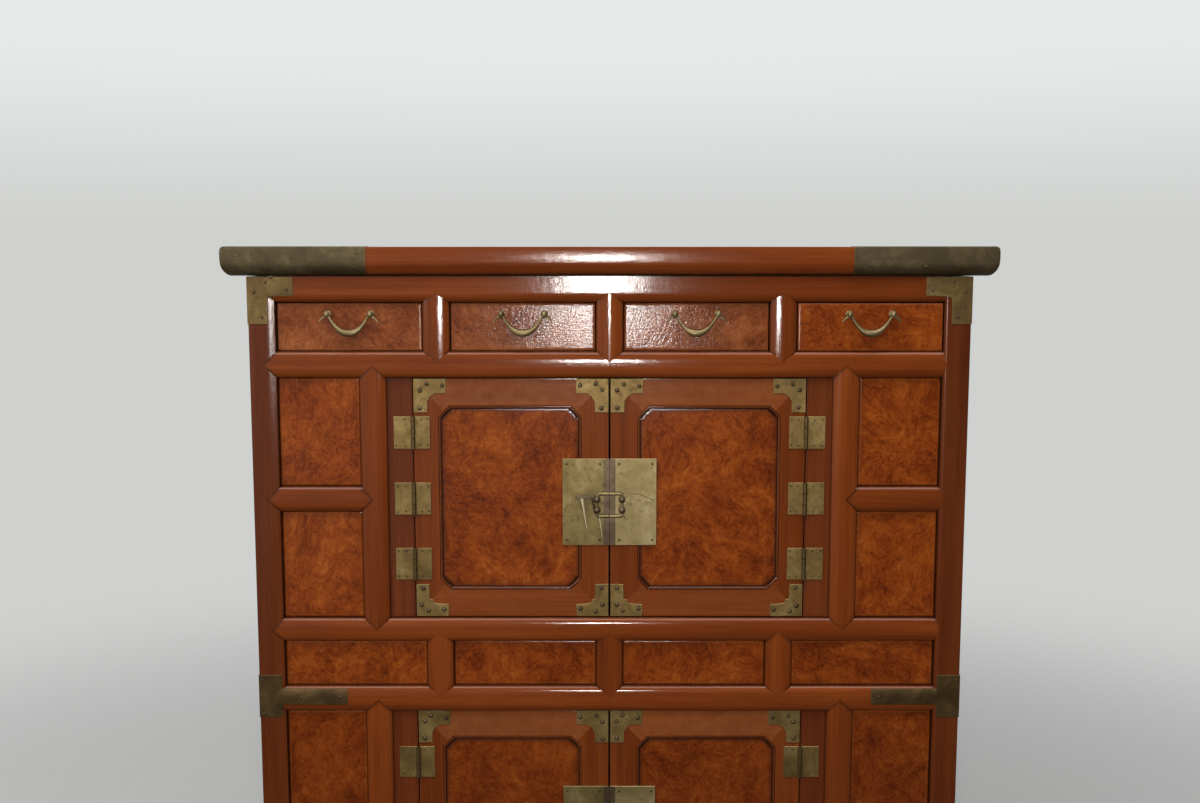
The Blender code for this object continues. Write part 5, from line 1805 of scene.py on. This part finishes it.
    def lock(self) -> None:
        """Half of the lock plate with its scratches, its dark strip, its ball studs and its nails."""
        sign, middle = self.side.value, self.tier.middle - LOCK_DROP
        low, high = middle - self.lock_half, middle + self.lock_half
        plate, strip = Shape(), Shape()
        path = rectangle(*self.side.span(DOOR_INNER + CLEAR, DOOR_INNER + self.lock_width), low, high)
        plate.plate(front_lay(LEAF_Y - CLEAR), path, LEAF_Y - CLEAR - PLATE_Y)
        coat = self.finishes.brass
        if self.side is Side.RIGHT:
            coat = self.finishes.pale_brass
            for scar in self.scars:
                points = [Vector((a, PLATE_Y + 0.15 * MM, middle + c)) for a, c in in_mm(*scar)]
                plate.tube(points, [0.5 * MM] * len(points), 6, 1.0)
        plate.make(f"{self.name}_lock_sheet", coat, self.body, [f"{self.name}_lock_plate"])
        x0, x1 = self.side.span(self.lip_end, DOOR_INNER + self.lip_width)
        strip.board((x0, PLATE_Y - self.lip_rise, low + CLEAR), (x1, PLATE_Y, high - CLEAR), 2, 0.1 * MM)
        for step in (-1, 1):
            x, z = sign * STUD_X, middle - STUD_DROP + step * STUD_HALF
            strip.turned(Vector((x, PLATE_Y, z)), -Y, in_mm((-1.0, 3.6), (0.5, 3.4), (1.1, 2.2), (4.5, 1.9)))
            strip.ball(Vector((x, STUD_Y, z)), self.stud_ball, -Y)
        strip.make(f"{self.name}_lock_studs", self.finishes.strip, self.body)
        for across in self.lock_heads:
            for up in (-self.lock_head_rise, self.lock_head_rise):
                spot = Vector((sign * (DOOR_INNER + across), PLATE_Y, middle + up))
                self.nails.add(self.body, spot, self.lock_radius)

    def build(self) -> None:
        """Make the door and its fittings."""
        self.frame()
        self.field()
        fittings = Shape()
        self.brackets(fittings)
        self.hinges(fittings)
        fittings.make(f"{self.name}_door_fittings", self.finishes.fitting_brass, self.body)
        self.lock()


@dataclass
class LockPulls:
    """Pair of bent pulls in the studs of a lock, and the two-pronged pin that hangs on one of them.

    The neck and prongs of the pin are distances to the stud in millimetres, and so are the prongs' radii.
    """

    finishes: Finishes
    tier: Tier
    radius: float = 2.3 * MM
    height: float = 32 * MM
    corner: float = 4.0 * MM
    tip: float = 0.3 * MM
    pin_half: float = 1.8 * MM
    bore: float = 2.1 * MM
    eye: float = 4.1 * MM
    bar_length: float = 0.030
    bar_height: float = 5.4 * MM
    neck: tuple[Pair, ...] = ((-6.9, 2.3), (-3.9, -15.0), (-2.9, -19.2), (-0.3, -22.4))
    neck_radius: float = 1.6 * MM
    prongs: tuple[tuple[Pair, ...], ...] = (
        ((-22.3, 0.5), (-20.9, -5.5), (-19.4, -14.0), (-18.0, -22.5), (-16.4, -31.5), (-14.8, -42.0)),
        ((-0.3, -22.4), (2.9, -26.2), (3.8, -31.0), (4.6, -36.0), (7.0, -54.0)))
    prong_radii: Pair = (3.0, 2.7)
    point_radius: float = 0.7

    @property
    def level(self) -> float:
        """Height of the middle of the studs."""
        return self.tier.middle - LOCK_DROP - STUD_DROP

    def pull(self, side: Side) -> None:
        """Bent wire with two arms that point to the gap between the doors.

        Args:
            side: Side of the lock that it hangs on.
        """
        half, c = self.height / 2, self.corner
        path = [(self.tip, half), (self.tip + 4 * MM, half), *arc((STUD_X - c, half - c), c, 90, 0, 6)]
        path += [(STUD_X, 0.0), *[(x, -z) for x, z in reversed(path)]]
        points = [Vector((side.value * x, STUD_Y, self.level + z)) for x, z in path]
        radii = [self.radius] * len(points)
        radii[0] = radii[-1] = self.radius * 0.9
        shape = Shape()
        # Painted shade on the underside of the wire.
        shape.tube(points, radii, 10, shade=(0, 0.2, -1.2))
        name = f"{self.tier.word}_{side.word}_lock_pull"
        shape.make(f"{name}_wire", self.finishes.pull_brass, name, [name])

    def pin(self) -> None:
        """Pin with an eye on the upper stud and two tapering prongs."""
        x, z, half = -STUD_X, self.level + STUD_HALF, self.pin_half
        y = PLATE_Y - CLEAR - half
        lay = front_lay(y)
        bar, fork = Shape(), Shape()
        low = z + self.bore + CLEAR - 3 * MM
        path = rectangle(x - self.bar_length, x - self.eye * 0.80, low, low + self.bar_height, 0.8 * MM)
        soft = 0.6 * MM
        bar.prism(lay, path, [Level(soft, -half, 0.9), Level(0, soft - half, 0.9), Level(0, half - soft, 0.2),
                              Level(soft, half, 0, 0.4)])
        ring = [Vector(p) for p in arc((x, z), self.eye, 0, 342, 19)]
        wall = self.eye - self.bore
        bar.trim(lay, ring, [Level(0, -half, 0.8), Level(0, half, 0.2), Level(wall, half, 0.2),
                             Level(wall, -half, 0.8)])

        def places(path: Sequence[Pair]) -> list[Vector]:
            """Places in front of the bar, from distances to the stud in millimetres."""
            return [Vector((x + a, y - MM, z + c)) for a, c in in_mm(*path)]

        bar.tube(places(self.neck), [self.neck_radius] * len(self.neck), 10, 0.6)
        for path, thick in zip(self.prongs, self.prong_radii):
            taper = (thick - self.point_radius) / (len(path) - 1)
            radii = [(thick - taper * i) * MM for i in range(len(path))]
            # Painted shade on the left side of each prong.
            fork.tube(places(path), radii, 10, shade=(-2.2, 0.5, -0.2), wear=1.0)
        name = f"{self.tier.word}_lock_pin"
        bar.make(f"{name}_bar", self.finishes.strip, name, [name])
        fork.make(f"{name}_prongs", self.finishes.pin_brass, name)

    def build(self) -> None:
        """Make both pulls and the pin."""
        for side in Side:
            self.pull(side)
        self.pin()


@dataclass
class Drawer:
    """Small drawer with a burl front, a plain box and a swan-neck pull on two posts."""

    finishes: Finishes
    number: int
    half: float = 0.1007
    low: float = node_span("drawer_1", 2)[0]
    high: float = node_span("drawer_1", 2)[1]
    front_thickness: float = 0.018
    wall: float = 0.010
    bottom: float = 0.008
    back_play: float = 0.020
    span: float = 0.060
    drop: float = 0.0225
    sag: float = 4.0 * MM
    standoff: float = 0.0085
    post_ball: float = 4.2 * MM
    rise: float = 0.018
    end_radius: float = 1.8 * MM
    middle_radius: float = 5.2 * MM
    post_gap: float = 3.0 * MM
    tail_length: float = 7.4 * MM
    tail_drop: float = 6 * MM
    tail_taper: float = 0.5 * MM

    @property
    def name(self) -> str:
        """Its node and body."""
        return f"drawer_{self.number}"

    @property
    def proud(self) -> float:
        """How far it stands out in front of the first drawer at rest."""
        return round(node_span("drawer_1", 1)[0] - node_span(self.name, 1)[0], 5)

    @property
    def x(self) -> float:
        """Middle of the drawer."""
        return COLUMN_X[self.number - 1]

    @property
    def front(self) -> float:
        """Depth of its face."""
        return LEAF_Y - self.proud

    @property
    def pivot(self) -> Vector:
        """Middle of the pull's axis."""
        return Vector((self.x, self.front - self.standoff, (self.low + self.high) / 2 + self.rise))

    def box(self) -> None:
        """Sides, back and bottom."""
        shape = Shape()
        x0, x1 = self.x - self.half, self.x + self.half
        near, back = self.front + self.front_thickness - MM, INNER_BACK_Y - self.back_play - self.proud
        for a in (x0, x1 - self.wall):
            shape.board((a, near, self.low), (a + self.wall, back, self.high), 1, 0.8 * MM, 0.3)
        x0, x1, inside = x0 + self.wall, x1 - self.wall, back - self.wall
        shape.board((x0, inside, self.low), (x1, back, self.high), 0, 0.8 * MM, 0.3)
        top = self.low + self.bottom
        shape.board((x0 - MM, near, self.low), (x1 + MM, inside + MM, top), 1, 0.6 * MM, 0.6)
        shape.make(f"{self.name}_box", self.finishes.bare, self.name)

    def face(self) -> None:
        """Burl front with rounded edges."""
        shape = Shape()
        path = rectangle(self.x - self.half, self.x + self.half, self.low, self.high, 1.2 * MM)
        # Rim darkened, soiling and painted shade in the gaps round the drawer, and rubbed on its rounded
        # edge.
        levels = [Level(0, -self.front_thickness, 0.8),
                  *profile((0, -2.6, 0.7), (0.35, -1.2, 0.30, 0.3), (1.2, -0.35, 0.12, 0.9),
                           (2.6, 0, 0.08, 0.5), (5.0, 0, 0.06), (14, 0))]
        shape.prism(front_lay(self.front), path, levels, inset=shrunk_path)
        # Drawers in line take the burl with painted sheen; the drawer that stands out takes the plain burl.
        coat = self.finishes.burl if self.proud else self.finishes.rubbed_burl
        shape.make(f"{self.name}_face", coat, self.name, [self.name])

    def posts(self) -> None:
        """Two posts with round heads on small roses."""
        shape = Shape()
        for step in (-0.5, 0.5):
            head = self.pivot + X * (self.span * step)
            shape.turned(Vector((head.x, self.front, head.z)), -Y, [
                *in_mm((-2.0, 5.0), (0.5, 5.0), (1.2, 4.2), (1.6, 2.7)), (self.standoff, 2.4 * MM)])
            shape.ball(head, self.post_ball, Z, 1.25)
        shape.make(f"{self.name}_posts", self.finishes.pull_brass, self.name)

    def bail(self) -> None:
        """Pull: thick at its middle, hung in the lower part of its posts, with short tails."""
        belly, tail = self.span / 2 - self.post_gap, self.span / 2 + self.post_gap
        right = []
        for share in (i / 14 for i in range(15)):
            swell = (1 + math.cos(math.pi * share)) / 2
            right.append((belly * share, self.sag + self.drop * (1 - share ** 2.2),
                          self.end_radius + (self.middle_radius - self.end_radius) * swell))
        for share in (i / 5 for i in range(6)):
            right.append((tail + self.tail_length * share, self.sag + self.tail_drop * share ** 1.4,
                          self.end_radius - self.tail_taper * share))
        whole = [(-a, d, r) for a, d, r in reversed(right[1:])] + right
        points = [self.pivot + X * a - Z * d for a, d, _ in whole]
        shape = Shape()
        # Painted shade on the underside and back of the bail.
        shape.tube(points, [r for _, _, r in whole], 14, shade=(0, 0.3, -0.6))
        name = f"{self.name}_bail"
        shape.make(f"{name}_metal", self.finishes.pull_brass, name, [name])

    def build(self) -> None:
        """Make the drawer and its pull."""
        self.box()
        self.face()
        self.posts()
        self.bail()


@dataclass(frozen=True)
class Lamp:
    """Soft rectangular lamp: where it stands, what it points at, its size, power in watts and colour."""

    name: str
    place: Place
    target: Place
    size: Pair
    power: float
    colour: Colour

    def build(self) -> None:
        """Make the lamp."""
        light = bpy.data.lights.new(self.name, "AREA")
        light.shape = "RECTANGLE"
        light.size, light.size_y = self.size
        light.energy = self.power
        light.color = self.colour
        lamp = linked(self.name, light)
        lamp.location = self.place
        lamp.rotation_euler = (Vector(self.target) - Vector(self.place)).to_track_quat("-Z", "Y").to_euler()
        lamp.visible_camera = False


@dataclass
class Studio:
    """Pale floor, soft light and the camera."""

    pale: Colour = (0.800, 0.824, 0.816)
    horizon: Colour = (0.625, 0.635, 0.622)
    dim: Colour = (0.055, 0.056, 0.056)
    glimmer: Colour = (0.560, 0.552, 0.540)
    ambient: Colour = (0.92, 0.96, 1.0)
    ambient_strength: float = 0.30
    floor_reach: float = 150.0
    floor_tones: tuple[Colour, Colour] = ((0.60, 0.605, 0.592), (0.64, 0.645, 0.632))
    bounce: Colour = (0.12, 0.121, 0.119)
    lens: float = 39.07
    sensor: float = 36.0
    eye: Place = (-0.0134, -2.020, 1.284)
    pitch: float = 6.7
    lamps: tuple[Lamp, ...] = (
        Lamp("key", (-0.015, -2.12, 1.174), (0.0, -0.2, 1.00), (0.17, 0.23), 15.5, (1.0, 0.96, 0.92)),
        Lamp("overhead", (0.0, -1.0, 3.1), (0.0, 0.0, 0.8), (2.4, 1.6), 60.0, (1.0, 0.98, 0.96)),
        Lamp("left", (-1.8, -1.7, 1.7), (-0.2, 0.0, 0.9), (1.2, 1.2), 18.0, (1.0, 0.98, 0.96)))

    def rays(self, shader: Wiring) -> tuple[Sock, Sock, Sock]:
        """Whether a ray is a camera, a glossy or a transmission ray."""
        path = shader.node("ShaderNodeLightPath")
        return path["Is Camera Ray"], path["Is Glossy Ray"], path["Is Transmission Ray"]

    def ground(self, shader: Wiring, way: Sock) -> Sock:
        """Colour of the ground: pale behind the chest, paler overhead, dim in front of it.

        Args:
            shader: Tree that takes it.
            way: Direction of sight.

        Returns:
            The colour.
        """
        parts = shader.parts(way)
        ahead = parts["Y"].ease(-0.45, 0.45)
        up = parts["Z"].ease(0.0, 0.16)
        right = parts["X"].ease(-0.40, 0.25)
        level = parts["Z"].ease(-0.36, -0.06)
        before = shader.mix((1.0 - right) * level, self.dim, self.glimmer)
        return shader.mix(ahead, before, shader.mix(up, self.horizon, self.pale))

    def world(self) -> None:
        """Soft even light, and a pale ground for what is seen directly."""
        world = bpy.data.worlds.new("studio")
        bpy.context.scene.world = world
        world.use_nodes = True
        shader = Wiring(world.node_tree)
        way = shader.node("ShaderNodeTexCoord")["Generated"]
        light = shader.node("ShaderNodeBackground", None, {"Color": (*self.ambient, 1.0),
                                                           "Strength": self.ambient_strength})
        seen = self.ground(shader, way)
        ground = shader.node("ShaderNodeBackground", None, {"Color": seen, "Strength": 1.0})
        camera, glossy, through = self.rays(shader)
        both = shader.blend((camera + glossy + through).ease(0.0, 1.0), light, ground)
        shader.node("ShaderNodeOutputWorld", None, {"Surface": both})

    def floor(self) -> None:
        """Pale floor that keeps the shadow of the chest and fades into the ground."""
        mesh = bpy.data.meshes.new("studio_floor")
        far = self.floor_reach
        mesh.from_pydata([(-far, -far, 0), (far, -far, 0), (far, far, 0), (-far, far, 0)], [], [(0, 1, 2, 3)])
        floor = linked("studio_floor", mesh)
        material = bpy.data.materials.new("pale_floor")
        material.use_nodes = True
        shader = Wiring(material.node_tree)
        place = shader.place()
        fade = shader.vectors("LENGTH", place)["Value"].ease(0.9, 3.6)
        tone = shader.mix(shader.noise(place, 40.0, 3.0), *self.floor_tones)
        matt = shader.node("ShaderNodeBsdfDiffuse", None, {"Color": tone, "Roughness": 0.6})
        away = shader.vectors("NORMALIZE", shader.vectors("ADD", place, (0.0, 0.0, -0.8)))
        glow = shader.node("ShaderNodeEmission", None, {"Color": self.ground(shader, away), "Strength": 1.0})
        low = shader.node("ShaderNodeBsdfDiffuse", None, {"Color": (*self.bounce, 1.0)})
        camera, glossy, through = self.rays(shader)
        near = shader.blend(camera, low, matt)
        shader.close(shader.blend((fade * (camera + through) + glossy).ease(0.0, 1.0), near, glow))
        mesh.materials.append(material)

    def camera(self) -> None:
        """Camera at the height of the top board, tipped down a little."""
        data = bpy.data.cameras.new("camera")
        data.sensor_width = self.sensor
        data.lens = self.lens
        camera = linked("camera", data)
        camera.location = self.eye
        camera.rotation_euler = (math.radians(90 - self.pitch), 0, 0)
        bpy.context.scene.camera = camera

    def build(self) -> None:
        """Set up the stage."""
        bpy.context.scene.view_settings.view_transform = "Standard"
        self.world()
        self.floor()
        for lamp in self.lamps:
            lamp.build()
        self.camera()


def main() -> None:
    """Build the chest, from the case to its fittings, and the studio."""
    logging.basicConfig(level=logging.INFO, format="%(name)s: %(message)s")
    finishes = Finishes()
    nails = Nails(finishes.nail)
    TopBoard(finishes, nails).build()
    FrontFrame(finishes).build()
    BurlFields(finishes).build()
    CaseBody(finishes).build()
    CaseBrackets(finishes, nails).build()
    for tier in Tier:
        for side in Side:
            Door(finishes, nails, tier, side).build()
        LockPulls(finishes, tier).build()
    for number in range(1, len(COLUMN_X) + 1):
        Drawer(finishes, number).build()
    nails.build()
    Studio().build()


if __name__ == "__main__":
    main()
